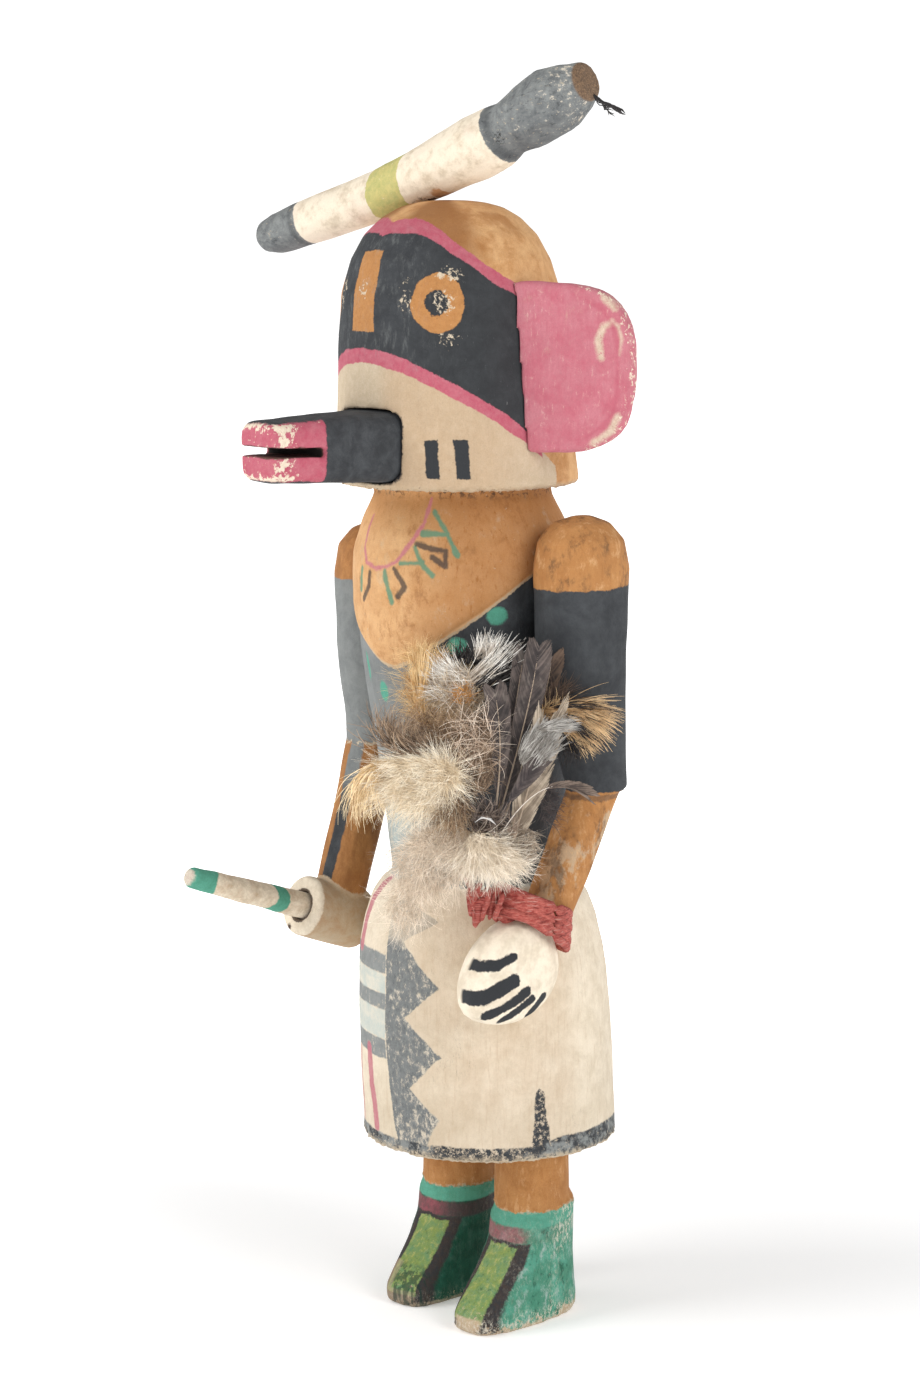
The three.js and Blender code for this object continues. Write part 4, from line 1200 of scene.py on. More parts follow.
class Barbs:
    """Fine ribbons and cords gathered into one mesh. Each point keeps how far out on its barb and
    how far along its feather it lies, and its barb's own tone."""

    def __init__(self):
        self.points = []
        self.faces = []
        self.slots = []
        self.marks = []
        self.count = 0

    def keep(self, points, faces, slot, marks):
        self.points.append(points)
        self.faces.extend((np.asarray(faces) + self.count).tolist())
        self.slots.extend([slot] * len(faces))
        self.marks.append(marks)
        self.count += len(points)

    def ribbons(self, lines, widths, facings, slot, along, tones):
        """Flat strips along many lines, each turned to face its own way."""
        number, steps, _ = lines.shape
        run = np.gradient(lines, axis=1)
        side = np.cross(run, facings[:, None, :])
        side /= np.maximum(np.linalg.norm(side, axis=2, keepdims=True), 1e-9)
        half = side * (widths / 2)[..., None]
        points = np.stack([lines - half, lines + half], axis=2).reshape(-1, 3)
        first = (np.arange(number)[:, None] * steps + np.arange(steps - 1)[None, :]).reshape(-1) * 2
        faces = np.stack([first, first + 2, first + 3, first + 1], axis=1)
        out = np.tile(np.repeat(np.linspace(0, 1, steps), 2), number)
        marks = np.column_stack([out, np.repeat(along, steps * 2), np.repeat(tones, steps * 2)])
        self.keep(points, faces, slot, marks)

    def cord(self, line, radius, slot=0, sides=6, flat=1.0, tone=0.5):
        """A round or flattened strand along a line, narrowed at both ends."""
        steps = len(line)
        radii = np.array(np.broadcast_to(np.asarray(radius, float), (steps,)))
        radii[[0, -1]] *= 0.3
        run = np.gradient(line, axis=0)
        run /= np.maximum(np.linalg.norm(run, axis=1, keepdims=True), 1e-9)
        side = np.cross(run, (0.13, 0.29, 0.95))
        side /= np.maximum(np.linalg.norm(side, axis=1, keepdims=True), 1e-9)
        over = np.cross(run, side)
        turns = np.linspace(0, math.tau, sides, endpoint=False)
        rings = [
            line + side * (math.cos(t) * radii * flat)[:, None] + over * (math.sin(t) * radii)[:, None]
            for t in turns
        ]
        points = np.vstack(rings)
        faces = []
        for a in range(sides):
            b = (a + 1) % sides
            for k in range(steps - 1):
                faces.append((a * steps + k, a * steps + k + 1, b * steps + k + 1, b * steps + k))
        along = np.tile(np.linspace(0, 1, steps), sides)
        marks = np.column_stack([np.zeros(len(points)), along, np.full(len(points), tone)])
        self.keep(points, faces, slot, marks)

    def mesh(self, name, finishes, place):
        """The gathered mesh. place turns the points into the doll's millimetres."""
        points = np.vstack(self.points)
        if place is not None:
            points = place(points)
        mesh = bpy.data.meshes.new(name)
        mesh.from_pydata((points * MM + np.array(AXIS)).tolist(), [], self.faces)
        for finish in finishes:
            mesh.materials.append(finish)
        mesh.polygons.foreach_set("material_index", np.array(self.slots, np.int32))
        mesh.polygons.foreach_set("use_smooth", np.ones(len(self.faces), bool))
        marks = np.vstack(self.marks)
        for column, label in enumerate(("out", "along", "tone")):
            attribute = mesh.attributes.new(label, "FLOAT", "POINT")
            attribute.data.foreach_set("value", marks[:, column].astype(np.float32))
        mesh.update()
        return mesh


# ---------- the bundle at the left wrist ----------

SHEET = math.radians(50)
TIE = np.array((34.0, -28.4, 110.6))
ROOT = np.array((-1.0, 3.2, -3.6))
ALONG = np.array((math.cos(SHEET), math.sin(SHEET), 0))
OUT = np.array((math.sin(SHEET), -math.cos(SHEET), 0))


def on_sheet(points):
    """(across, up, depth) about the tie, as millimetres about the doll's axis."""
    points = points + ROOT
    return TIE + points[:, :1] * ALONG + points[:, 1:2] * np.array((0, 0, 1)) + points[:, 2:] * OUT


def feather_finish(name, base, tip, pale=None, gloss=0.0):
    """Barbs that change colour outward and from one to the next."""
    f = Finish(name)
    out = f.attribute("out")
    tone = f.attribute("tone")
    patches = f.clouds(0.35, 3.0, 0.6) - 0.5
    f.coat(f.blend(display(*base), display(*tip), f.ramp(out * 0.5 + tone * 0.3 + patches * 1.2, 0.1, 0.7)))
    if pale:
        f.coat(display(*pale), f.ramp(f.brushed(0.4, 0.5), 0.58, 0.72) * 0.6)
    colour = f.shaded(f.colour, tone * 0.4 + patches * 0.5 + 0.8)
    return f.surface(Specular_IOR_Level=0.35, Base_Color=colour, Roughness=tone * 0.2 + 0.55 - gloss)


# Steps along a feather's shaft, and how many barbs cling together.
SPINE_STEPS = 120
CLUMP = 9


class Plume:
    """One feather laid out on the sheet (across, up, depth) in millimetres."""

    def __init__(self, barbs, spine, seed, slot=0):
        self.barbs = barbs
        self.line = bend_through(spine, SPINE_STEPS)
        self.dice = np.random.default_rng(seed)
        self.slot = slot

    def shaft(self, radius, slot):
        line = self.line[::6]
        self.barbs.cord(line, np.linspace(radius, radius * 0.3, len(line)), slot, sides=5)

    def web(self, side, outline, lean, gap, width, ragged=0.05, split=1.6, spread=0.8, bend=0.45, roll=0.12):
        """Barbs down one side of the shaft. outline is (share, reach); lean is degrees off the shaft."""
        dice = self.dice
        reach_at, reaches = zip(*outline)
        whole = np.linalg.norm(np.diff(self.line, axis=0), axis=1).sum()
        count = max(4, int(whole * (reach_at[-1] - reach_at[0]) / gap))
        share = np.linspace(reach_at[0], reach_at[-1], count)
        spot = np.minimum((share * (SPINE_STEPS - 1)).astype(int), SPINE_STEPS - 2)
        start = self.line[spot]
        run = np.gradient(self.line, axis=0)[spot] * (1, 1, 0)
        run /= np.linalg.norm(run, axis=1, keepdims=True)
        outward = np.column_stack([run[:, 1], -run[:, 0], np.zeros(count)]) * side
        clumps = np.repeat(dice.uniform(-1, 1, count // CLUMP + 1), CLUMP)[:count]
        turn = lean[0] + (lean[1] - lean[0]) * share + clumps * split + dice.normal(0, spread, count)
        turn = np.radians(turn)
        reach = np.interp(share, reach_at, reaches) * (1 + dice.uniform(-ragged, ragged, count))
        length = reach / np.maximum(np.sin(turn * (1 - bend * 0.45)), 0.25)
        steps = 7
        lines = np.zeros((count, steps, 3))
        lines[:, 0] = start
        for step in range(1, steps):
            angle = turn * (1 - bend * step / (steps - 1))
            heading = run * np.cos(angle)[:, None] + outward * np.sin(angle)[:, None]
            lines[:, step] = lines[:, step - 1] + heading * (length / (steps - 1))[:, None]
        lines[:, :, 2] += dice.uniform(-0.12, 0.12, (count, 1))
        widths = width * np.tile(1 - 0.7 * np.linspace(0, 1, steps) ** 3, (count, 1))
        tilt = dice.normal(0, roll, (count, 2))
        facings = np.column_stack([tilt, np.ones(count)])
        self.barbs.ribbons(lines, widths, facings, self.slot, share, dice.random(count))


def tuft(
    barbs,
    seed,
    spot,
    size,
    heading,
    spread,
    length,
    count,
    slot=0,
    width=0.09,
    curl=1.0,
    turn=0.0,
    deep=1.6,
):
    """Loose barbs that spring from round a spot and drift one way. Angles are degrees on the sheet."""
    dice = np.random.default_rng(seed)
    around = dice.uniform(0, math.tau, count)
    off = np.sqrt(dice.random(count))
    steps = 8
    lines = np.zeros((count, steps, 3))
    lines[:, 0, 0] = spot[0] + np.cos(around) * off * size[0]
    lines[:, 0, 1] = spot[1] + np.sin(around) * off * size[1]
    lines[:, 0, 2] = spot[2] + dice.normal(0, deep * 0.5, count)
    angle = np.radians(heading + dice.normal(0, spread, count))
    bend = dice.normal(math.radians(turn), curl, count) / (steps - 1)
    loft = dice.normal(0, 0.4, count)
    reach = length * dice.uniform(0.45, 1.1, count) / (steps - 1)
    for step in range(1, steps):
        angle = angle + bend
        rise = loft * math.cos(step * 0.6)
        heading_now = np.column_stack([np.cos(angle), np.sin(angle), rise])
        lines[:, step] = lines[:, step - 1] + heading_now * reach[:, None]
    thick = width * dice.uniform(0.7, 1.3, (count, 1)) * (1 - 0.75 * np.linspace(0, 1, steps) ** 2)
    facings = np.column_stack([dice.normal(0, 0.6, (count, 2)), np.ones(count)])
    barbs.ribbons(lines, thick, facings, slot, off, dice.random(count))


VANE_LEAN = (42, 36)


def vane(barbs, spine, seed, outline, quill=1, slot=0, lean=VANE_LEAN, shaft=0.36, narrow=1.0, **style):
    """A closed feather blade: a shaft with barbs close together down both sides."""
    plume = Plume(barbs, spine, seed, slot)
    plume.shaft(shaft, quill)
    for side, scale in ((-1, narrow), (1, 1.0)):
        plume.web(side, [(share, reach * scale) for share, reach in outline], lean, 0.15, 0.3, **style)
    return plume


def dark_feathers():
    """The blades, and the glossy curl at their root. Slots: dark, quill, black, gloss, highlight."""
    tall = Barbs()
    outline = [(0.3, 0.8), (0.42, 2.2), (0.6, 3.0), (0.84, 3.3), (0.93, 2.8), (0.98, 1.6), (1, 0.4)]
    vane(tall, [(0, 2, 2.6), (3.4, 14, 3.4), (7.4, 28, 3.4), (11, 41, 3.2), (12.6, 53.8, 3)], 21, outline)
    short = Barbs()
    outline = [(0.36, 0.8), (0.5, 2.2), (0.7, 2.9), (0.88, 2.8), (0.96, 1.9), (1, 0.5)]
    vane(short, [(0, 3, 4.4), (3.4, 16, 5.2), (4.6, 28, 5.2), (4.0, 36, 5), (2.6, 43.8, 4.4)], 22, outline)
    outline = [(0.4, 1.2), (0.6, 2.2), (0.85, 2.5), (0.95, 1.8), (1, 0.5)]
    vane(short, [(1, 3, 1), (4.6, 20, 1.6), (6.4, 34, 1.8), (8.2, 45, 1.6), (9.2, 52, 1.4)], 24, outline)
    for k in range(6):
        loop = [(-3.8 + k * 0.5, 16.8 - k * 0.5, 5), (-3.0 + k * 0.9, 12.4 - k * 0.5, 7.4 + k * 0.2)]
        loop += [(1.4 + k * 0.4, 10.4 + k * 0.8, 8 + k * 0.2), (3.9 - k * 0.3, 14 + k * 0.5, 6.4)]
        short.cord(bend_through(loop, 16), 0.62, slot=3, sides=7, flat=0.6, tone=k / 6)
    # Painted highlights: thin pale arcs over the glossy curl.
    for k in range(5):
        loop = [(-1.8 + k * 0.3, 14.6 + k * 0.3, 9), (-0.2 + k * 0.2, 16.2, 9.4 + k * 0.1)]
        loop += [(2 + k * 0.3, 15.4 - k * 0.4, 9.2)]
        short.cord(bend_through(loop, 12), 0.08, slot=4, sides=5)
    tuft(short, 20, (0.2, 14.0, 7.6), (3.2, 2.6), 20, 60, 5, 160, slot=3, width=0.22, curl=1.2)
    tuft(short, 25, (0.6, 13.4, 6.0), (3.0, 3.4), 70, 50, 5, 300, slot=0, width=0.2, curl=0.8)
    tuft(short, 28, (6.6, 12.6, 7.4), (1.2, 2.4), 96, 24, 3.4, 60, slot=1, width=0.16, curl=0.6)
    brown = Barbs()
    outline = [(0.6, 1.4), (0.8, 2.9), (0.93, 2.8), (1, 0.6)]
    vane(brown, [(1, 2, -3), (7, 20, -4), (12.6, 34, -4), (15, 43, -3.8), (15.6, 50.2, -3.4)], 23, outline)
    tuft(brown, 26, (16.0, 40.4, -1.6), (1.8, 1.4), 44, 20, 7.5, 110, width=0.13, curl=0.4)
    tuft(brown, 27, (12.6, 38.6, -1), (2.4, 2), 60, 30, 5, 160, width=0.11, curl=0.6)
    return {"tall_dark_feather": tall, "short_dark_feather": short, "brown_feather": brown}


def barred_feather():
    """White and black plume. Slots: white, quill, black, smoke, orange."""
    barred = Barbs()
    Plume(barred, [(-1, 30, -5), (-2, 38, -5), (-6, 46, -3), (0, 50, -2), (8.4, 53, -2)], 31).shaft(0.25, 1)
    tuft(barred, 32, (-4.4, 46.0, -1), (2.4, 1.8), 170, 15, 8.5, 230, width=0.15, curl=0.3, turn=-30)
    tuft(barred, 33, (-2.4, 44.6, -0.6), (3.0, 1.6), 38, 8, 13.4, 260, width=0.16, curl=0.12, turn=4)
    tuft(barred, 34, (0.6, 50.6, -2.4), (3.0, 1.2), 82, 17, 5.6, 170, width=0.14, curl=0.3, turn=-12)
    tuft(barred, 35, (-0.8, 43.6, -0.2), (2.8, 1.6), 35, 8, 11.5, 150, slot=2, width=0.3, curl=0.12)
    tuft(barred, 36, (-4.0, 48.4, -2.6), (3.4, 1.6), 70, 30, 5.2, 130, slot=2, width=0.26, curl=0.3)
    tuft(barred, 37, (2.6, 47.4, -2.6), (3.0, 2.2), 48, 12, 8.0, 160, slot=2, width=0.3, curl=0.2)
    tuft(barred, 38, (-5.6, 41.8, -1), (5.6, 3.4), 130, 80, 6.0, 1700, slot=3, width=0.085, curl=0.9, deep=3)
    tuft(barred, 30, (-6.4, 42.6, 0.6), (4.8, 3.0), 150, 40, 5.6, 240, width=0.1, curl=0.6)
    tuft(barred, 39, (-4.6, 42.0, 1), (2.2, 1.8), 100, 60, 3.2, 240, slot=4, width=0.14, curl=0.8)
    return barred


def grey_feather():
    """Grey blade that turns to tan lower down. Slots: grey, quill, blotch, tan."""
    grey = Barbs()
    spine = [(4, 3, 4.4), (7.4, 10, 5.4), (9.8, 20, 5.8), (12.2, 29, 5.8), (13.6, 35, 5.4)]
    shape = [(0.1, 1.6), (0.3, 3.8), (0.6, 4.4), (0.88, 3.8), (1, 1.6)]
    vane(grey, spine, 41, shape, slot=3, narrow=0.75, lean=(30, 24), ragged=0.1, spread=2)
    blotch = [(0.2, 1.0), (0.5, 2.3), (0.8, 2.4), (1, 0.6)]
    spine = [(4.6, 17.2, 7.2), (7, 20.6, 7.6), (10, 25, 7.6), (12.8, 28.4, 7.4)]
    vane(grey, spine, 42, blotch, slot=2, quill=2, shaft=0.2)
    tuft(grey, 46, (11.2, 29.6, 7), (3.4, 3.6), 60, 10, 6.6, 900, width=0.16, curl=0.15, turn=-16, deep=0.8)
    tuft(grey, 43, (14.2, 35.4, 7.4), (2.6, 1.2), 22, 8, 6.0, 260, width=0.15, curl=0.15, turn=-14, deep=0.8)
    tuft(grey, 44, (14.4, 18, 2.6), (1.8, 5), -20, 50, 4.6, 260, slot=2, width=0.1, curl=0.9)
    tuft(grey, 45, (9.6, 9, 6), (2.2, 4), -80, 50, 4.4, 320, slot=3, width=0.1, curl=0.9)
    return grey


def thin_feather():
    thin = Barbs()
    outline = [(0.5, 0.6), (0.78, 1.4), (0.93, 1.2), (1, 0.3)]
    spine = [(2, 8, 7), (9, 21.6, 8.4), (15, 24.6, 8.6), (19.4, 23.4, 8.4), (23.2, 20.8, 8)]
    vane(thin, spine, 51, outline, lean=(26, 20), shaft=0.13)
    return thin


def golden_feather():
    """The fan at the right. Slots: gold, quill, black."""
    golden = Barbs()
    spine = [(6, 22, 0), (10.6, 34, 0.6), (14, 38, 0.8), (19, 40.4, 1), (24, 40.6, 1.2)]
    Plume(golden, spine, 61).shaft(0.26, 1)
    tuft(golden, 64, (16.4, 38.8, 1.4), (2.4, 0.9), 4, 13, 13.8, 620, width=0.2, curl=0.1, turn=-34, deep=0.8)
    tuft(golden, 65, (18.4, 36.0, 0.8), (1.8, 1.0), -38, 7, 9.4, 260, width=0.2, curl=0.15, turn=-6, deep=0.8)
    tuft(golden, 66, (17.6, 37.6, 1.8), (1.4, 0.5), -34, 3, 11.5, 60, slot=2, width=0.22, curl=0.08)
    tuft(golden, 67, (16.4, 39.8, 2.2), (1.8, 0.4), 17, 6, 14.5, 44, slot=2, width=0.13, curl=0.1, turn=-36)
    tuft(golden, 68, (17.4, 38.4, 2.2), (2.2, 0.8), -8, 13, 12.5, 50, slot=2, width=0.11, curl=0.1, turn=-26)
    tuft(golden, 62, (18.6, 31.6, 0.6), (2.6, 2.0), -24, 40, 6.0, 210, slot=2, width=0.12, curl=1.0)
    tuft(golden, 63, (15.2, 38.0, 0.8), (2.6, 1.6), 30, 30, 5.0, 160, width=0.12, curl=0.6)
    return golden


def ochre_feather():
    ochre = Barbs()
    spine = [(0, 8, -5), (-5, 20, -5), (-12, 32, -4.6), (-13.6, 42, -4), (-13.2, 50, -4)]
    Plume(ochre, spine, 71).shaft(0.25, 1)
    tuft(ochre, 72, (-14.0, 39.4, -2.4), (1.4, 3.2), 88, 5, 11.5, 480, width=0.2, curl=0.12)
    tuft(ochre, 73, (-10.6, 37.0, -2.6), (4.4, 3.4), 116, 24, 7.5, 620, width=0.12, curl=0.5)
    tuft(ochre, 74, (-13.8, 43.4, -4), (3.8, 5.2), 90, 80, 7.5, 700, width=0.06, curl=1.1)
    tuft(ochre, 75, (-12.6, 49.4, -4), (4.6, 1.6), 96, 46, 5.6, 300, width=0.065, curl=1.1)
    return ochre


def curled_feather():
    """Brown barbs that curl up at the left, and the tangle round them. Slots: tan, quill, dark, twig."""
    curl = Barbs()
    Plume(curl, [(0, 6, 3), (-3, 20, 3.4), (-8, 28, 3.6), (-14, 30, 3.8), (-20, 31.4, 4)], 81).shaft(0.3, 1)
    tuft(curl, 82, (-15.4, 30.8, 6.8), (3.6, 1.3), 178, 14, 12.5, 110, slot=2, width=0.19, curl=0.5, turn=-84)
    tuft(curl, 83, (-20.4, 33.4, 6.4), (2.6, 2.2), 130, 24, 8.4, 70, slot=2, width=0.14, curl=0.6, turn=-50)
    tuft(curl, 88, (-14.4, 31.8, 6.4), (5.0, 1.8), 170, 18, 9.0, 130, slot=2, width=0.1, curl=0.6, turn=-30)
    tuft(curl, 84, (-11.0, 34.2, 3.4), (8.0, 4.0), 120, 90, 5.8, 1100, width=0.075, curl=1.0, deep=3)
    tuft(curl, 85, (-1.8, 31.8, 3.8), (4.2, 6.2), 90, 120, 5.4, 800, slot=2, width=0.08, curl=1.1, deep=3)
    tuft(curl, 86, (-2.2, 32.0, 7.6), (4.6, 6.8), 110, 75, 8.0, 130, slot=3, width=0.1, curl=0.9)
    tuft(curl, 87, (-1.6, 25.4, 4.4), (3.6, 5.4), 85, 60, 4.6, 900, slot=2, width=0.12, curl=1.1, deep=3)
    return curl


def down_tufts():
    """Loose down. Slots of the cream one: cream, long barbs, tan."""
    cream = Barbs()
    tuft(cream, 91, (-12.6, 23.0, 6), (8.6, 5.4), 206, 46, 10.0, 2600, width=0.075, curl=0.45, deep=3.4)
    tuft(cream, 92, (-8.4, 25.6, 8), (3.0, 2.4), 206, 70, 8.0, 1300, width=0.09, curl=0.45, deep=2)
    tuft(cream, 93, (-6.6, 17.6, 7), (3.0, 4.4), 240, 50, 6.4, 900, slot=2, width=0.08, curl=0.7, deep=2.4)
    tuft(cream, 94, (-22.6, 27.4, 6), (2.2, 1.2), 206, 10, 16.0, 150, slot=1, width=0.2, curl=0.2, turn=70)
    tuft(cream, 95, (-22.6, 26.0, 5), (2.2, 2.4), 226, 18, 11.5, 160, slot=1, width=0.1, curl=0.3, turn=40)
    tuft(cream, 96, (-14.4, 28.0, 7.4), (7.4, 1.2), 190, 16, 8.0, 420, width=0.1, curl=0.35)
    hanging = Barbs()
    tuft(hanging, 101, (-8.6, 9.4, 5), (7.0, 3.6), 200, 70, 7.4, 1500, width=0.07, curl=0.8, deep=2.6)
    tuft(hanging, 102, (-15.4, 5.6, 4), (4.6, 3.6), 230, 46, 7.0, 480, width=0.065, curl=0.8)
    tuft(hanging, 103, (-17.4, -5.0, 2.6), (4.2, 5.6), 254, 50, 7.5, 560, width=0.06, curl=0.9)
    tuft(hanging, 104, (-9.0, 3.0, 4), (6.4, 2.6), 262, 40, 8.5, 760, width=0.06, curl=0.8)
    tuft(hanging, 105, (-14.0, 0.4, 4), (5.0, 2.4), 258, 44, 8.5, 420, width=0.055, curl=0.9)
    wrist = Barbs()
    tuft(wrist, 111, (-0.6, 10.2, 6), (3.4, 2.4), 290, 34, 10.6, 1500, width=0.085, curl=0.5, turn=22, deep=6)
    tuft(wrist, 112, (3.4, 6.6, 6.4), (4.4, 3.0), 304, 32, 7.6, 1100, width=0.08, curl=0.6, turn=20, deep=5.4)
    tuft(wrist, 113, (-3.4, 6.4, 5), (3.0, 3.0), 262, 36, 6.4, 600, width=0.075, curl=0.8, deep=4)
    tuft(wrist, 114, (0.4, 7.4, 1.4), (3.8, 3.4), 275, 60, 6.6, 900, width=0.08, curl=0.8, deep=6)
    return {"cream_feather": cream, "hanging_down_feather": hanging, "wrist_down_feather": wrist}


def feather_finishes():
    quill = feather_finish("pale quill", (170, 150, 130), (110, 92, 80), gloss=0.25)
    black = feather_finish("black barbs", (30, 27, 27), (46, 40, 38), gloss=0.1)
    dark = feather_finish("dark vane", (58, 51, 50), (98, 87, 82), (128, 118, 110))
    white = feather_finish("white barbs", (206, 192, 176), (246, 243, 236))
    smoke = feather_finish("smoky down", (158, 134, 108), (218, 198, 168))
    tan = feather_finish("tan down", (104, 80, 60), (182, 154, 122))
    cream = feather_finish("cream down", (222, 200, 166), (250, 240, 220))
    return {
        "tall_dark_feather": [dark, quill],
        "short_dark_feather": [
            dark,
            quill,
            black,
            feather_finish("glossy quill", (78, 64, 56), (136, 120, 108), gloss=0.38),
            feather_finish("bright quill", (222, 218, 214), (236, 234, 230), gloss=0.3),
        ],
        "brown_feather": [feather_finish("brown vane", (58, 46, 40), (104, 84, 70)), quill],
        "barred_feather": [
            white,
            quill,
            black,
            smoke,
            feather_finish("orange down", (186, 128, 66), (214, 162, 100)),
        ],
        "grey_feather": [
            feather_finish("grey vane", (136, 130, 122), (186, 182, 176), (214, 210, 204)),
            quill,
            feather_finish("grey blotch", (62, 54, 54), (92, 82, 78)),
            feather_finish("tan vane", (136, 120, 102), (188, 172, 152)),
        ],
        "thin_feather": [
            feather_finish("thin vane", (74, 62, 56), (124, 108, 96)),
            feather_finish("pale rib", (224, 214, 202), (236, 228, 218)),
        ],
        "golden_feather": [feather_finish("golden barbs", (188, 148, 102), (222, 190, 146)), quill, black],
        "ochre_feather": [feather_finish("ochre fluff", (206, 160, 98), (238, 210, 160)), quill],
        "curled_brown_feather": [
            tan,
            quill,
            feather_finish("curled brown barbs", (96, 77, 62), (170, 144, 118)),
            feather_finish("twiggy barbs", (186, 160, 136), (230, 214, 196)),
        ],
        "cream_feather": [cream, feather_finish("cream barbs", (214, 180, 130), (240, 218, 178)), tan],
        "hanging_down_feather": [feather_finish("grey down", (208, 188, 164), (240, 226, 208))],
        "wrist_down_feather": [feather_finish("white down", (216, 198, 172), (248, 238, 222))],
    }


QUILL = 0.36
QUILL_ORDER = [
    "ochre_feather",
    "barred_feather",
    "brown_feather",
    "golden_feather",
    "tall_dark_feather",
    "curled_brown_feather",
    "short_dark_feather",
    "grey_feather",
    "cream_feather",
    "thin_feather",
]


def build_feathers():
    finishes = feather_finishes()
    pieces = {
        **dark_feathers(),
        "barred_feather": barred_feather(),
        "grey_feather": grey_feather(),
        "thin_feather": thin_feather(),
        "golden_feather": golden_feather(),
        "ochre_feather": ochre_feather(),
        "curled_brown_feather": curled_feather(),
        **down_tufts(),
    }
    for place, node in enumerate(QUILL_ORDER):
        depth = place - (len(QUILL_ORDER) - 1) / 2
        stem = [(1.0, -2.4, 2.6 + depth * 0.2), (1.7, 5, 3.6 + depth * 0.7), (2.6, 12.8, 3.6 + depth)]
        pieces[node].cord(bend_through(stem, 12), QUILL, slot=1)
    for node, barbs in pieces.items():
        mesh = barbs.mesh(node + "_barbs", finishes[node], on_sheet)
        add_piece(node + "_barbs", mesh, "feathers", node)


WRAP = {
    "turns": 8,
    "steps": 48,
    "top": 106.8,
    "step": 0.84,
    "y": -14.1,
    "wide": 7.4,
    "deep": 9.8,
    "tilt": -28,
    "fan": -0.6,
}


def wrap_finish():
    f = Finish("red strips")
    twill = f.brushed((0.6, 0.6, 2.4), 1.4, 4.0, 0.7)
    red = f.blend(display(176, 66, 60), display(232, 132, 118), f.ramp(twill, 0.3, 0.66))
    f.coat(red)
    threads = f.brushed((0.25, 0.25, 2.2), 0.9, 3.0, 0.6)
    f.coat(display(244, 184, 170), f.ramp(threads, 0.58, 0.64) * 0.75)
    f.coat(display(110, 38, 36), f.ramp(threads, 0.4, 0.35) * 0.7)
    # Painted shade in the creases between the strips.
    f.coat(display(70, 24, 22), f.crease_shade * 0.5)
    return f.finish(blotch=0.15, speck=0.2, relief=2.0)


def build_wrap():
    dice = random.Random(61)
    strips = Barbs()
    for k in range(WRAP["turns"]):
        tilt = math.radians(WRAP["tilt"] + WRAP["fan"] * k + dice.uniform(-2, 2))
        line = []
        for step in range(WRAP["steps"] + 1):
            turn = math.tau * step / WRAP["steps"]
            swell = 1 + 0.018 * math.sin(turn * 3 + k * 1.7) + 0.012 * k
            deep = math.sin(turn) * WRAP["deep"] * swell
            up = WRAP["top"] - WRAP["step"] * k + deep * math.sin(tilt) + 0.5 * math.sin(turn * 2 + k * 2.3)
            across = TIE[0] + math.cos(turn) * WRAP["wide"] * swell
            line.append((across, WRAP["y"] - 0.2 * k + deep * math.cos(tilt), up))
        strips.cord(np.array(line), 1.15 + 0.12 * math.sin(k * 2.4), sides=8, flat=0.6, tone=dice.random())
    folds = [
        [(-2.6, 0.2), (-3.2, -4), (-2.4, -8.6)],
        [(-2.2, -0.8), (-1.6, -6), (-1.6, -11.2)],
        [(-1.2, -3), (-0.2, -6.5), (-1.2, -10)],
        [(-0.4, -0.4), (-2.0, -3.4), (-2.8, -6.4)],
        [(1.4, -1.4), (0.8, -6), (-0.4, -9.4)],
        [(2.8, -1.0), (2.4, -6), (1.4, -9.4)],
        [(4.2, -1.8), (2.4, -5), (0.8, -8.2)],
        [(4.6, -3.0), (3.6, -6), (2.6, -9.0)],
        [(-3.0, -2.6), (-0.6, -3.8), (2.4, -2.6)],
        [(-2.8, -5.0), (-0.8, -5.4), (1.6, -4.6)],
        [(-3.0, -1.0), (-3.4, 0.8), (-3.8, 2.0)],
    ]
    for fold in folds:
        out = dice.uniform(1.4, 3.4)
        line = [(fold[0][0], fold[0][1], out - 0.6), (*fold[1], out + 1.6), (*fold[2], out - 0.4)]
        radius = dice.uniform(0.9, 1.35)
        strips.cord(on_sheet(bend_through(line, 14)), radius, sides=8, flat=0.55, tone=dice.random())
    for k in range(5):
        knot = on_sheet(np.array([(0.4 + 0.7 * k, -2.4 - 1.3 * k, 0.4)]))[0]
        wrist = np.array((TIE[0] - 2 + k, -19.6, 106.6 - 1.3 * k))
        line = bend_through([knot, (knot + wrist) / 2 + (0, 0, -0.6), wrist], 14)
        strips.cord(line, dice.uniform(1.1, 1.5), sides=8, flat=0.6, tone=dice.random())
    mesh = strips.mesh("red_strips", [wrap_finish()], None)
    add_piece("red_strips", mesh, "red_strips", "wrist_wrap")


# ---------- the stage ----------

ROOM_LIGHT = 0.5
BACKDROP_LIGHT = 0.62
LIT_SPOT = (0, 0, 0.14)
LOOK = {"aside": 0.00615, "up": 0.151}
FLOOR = {"reach": 6.0, "sides": 48}


def build_floor():
    f = Finish("pale floor")
    patches = f.clouds(0.01, 2.0)
    colour = f.blend((0.93, 0.93, 0.93, 1), (0.95, 0.95, 0.95, 1), patches)
    glow = f.ramp(f.length(f.x, f.y), 60, 420) * 0.7 + 0.24
    f.surface(
        Roughness=0.9,
        Specular_IOR_Level=0.1,
        Emission_Color=(1, 1, 1, 1),
        Emission_Strength=glow,
        Base_Color=colour,
    )
    mesh = bpy.data.meshes.new("floor")
    corners = range(FLOOR["sides"])
    turns = [math.tau * k / FLOOR["sides"] for k in corners]
    rim = [(FLOOR["reach"] * math.cos(turn), FLOOR["reach"] * math.sin(turn), 0) for turn in turns]
    mesh.from_pydata(rim, [], [list(corners)])
    mesh.materials.append(f.material)
    floor = new_object("floor", mesh)


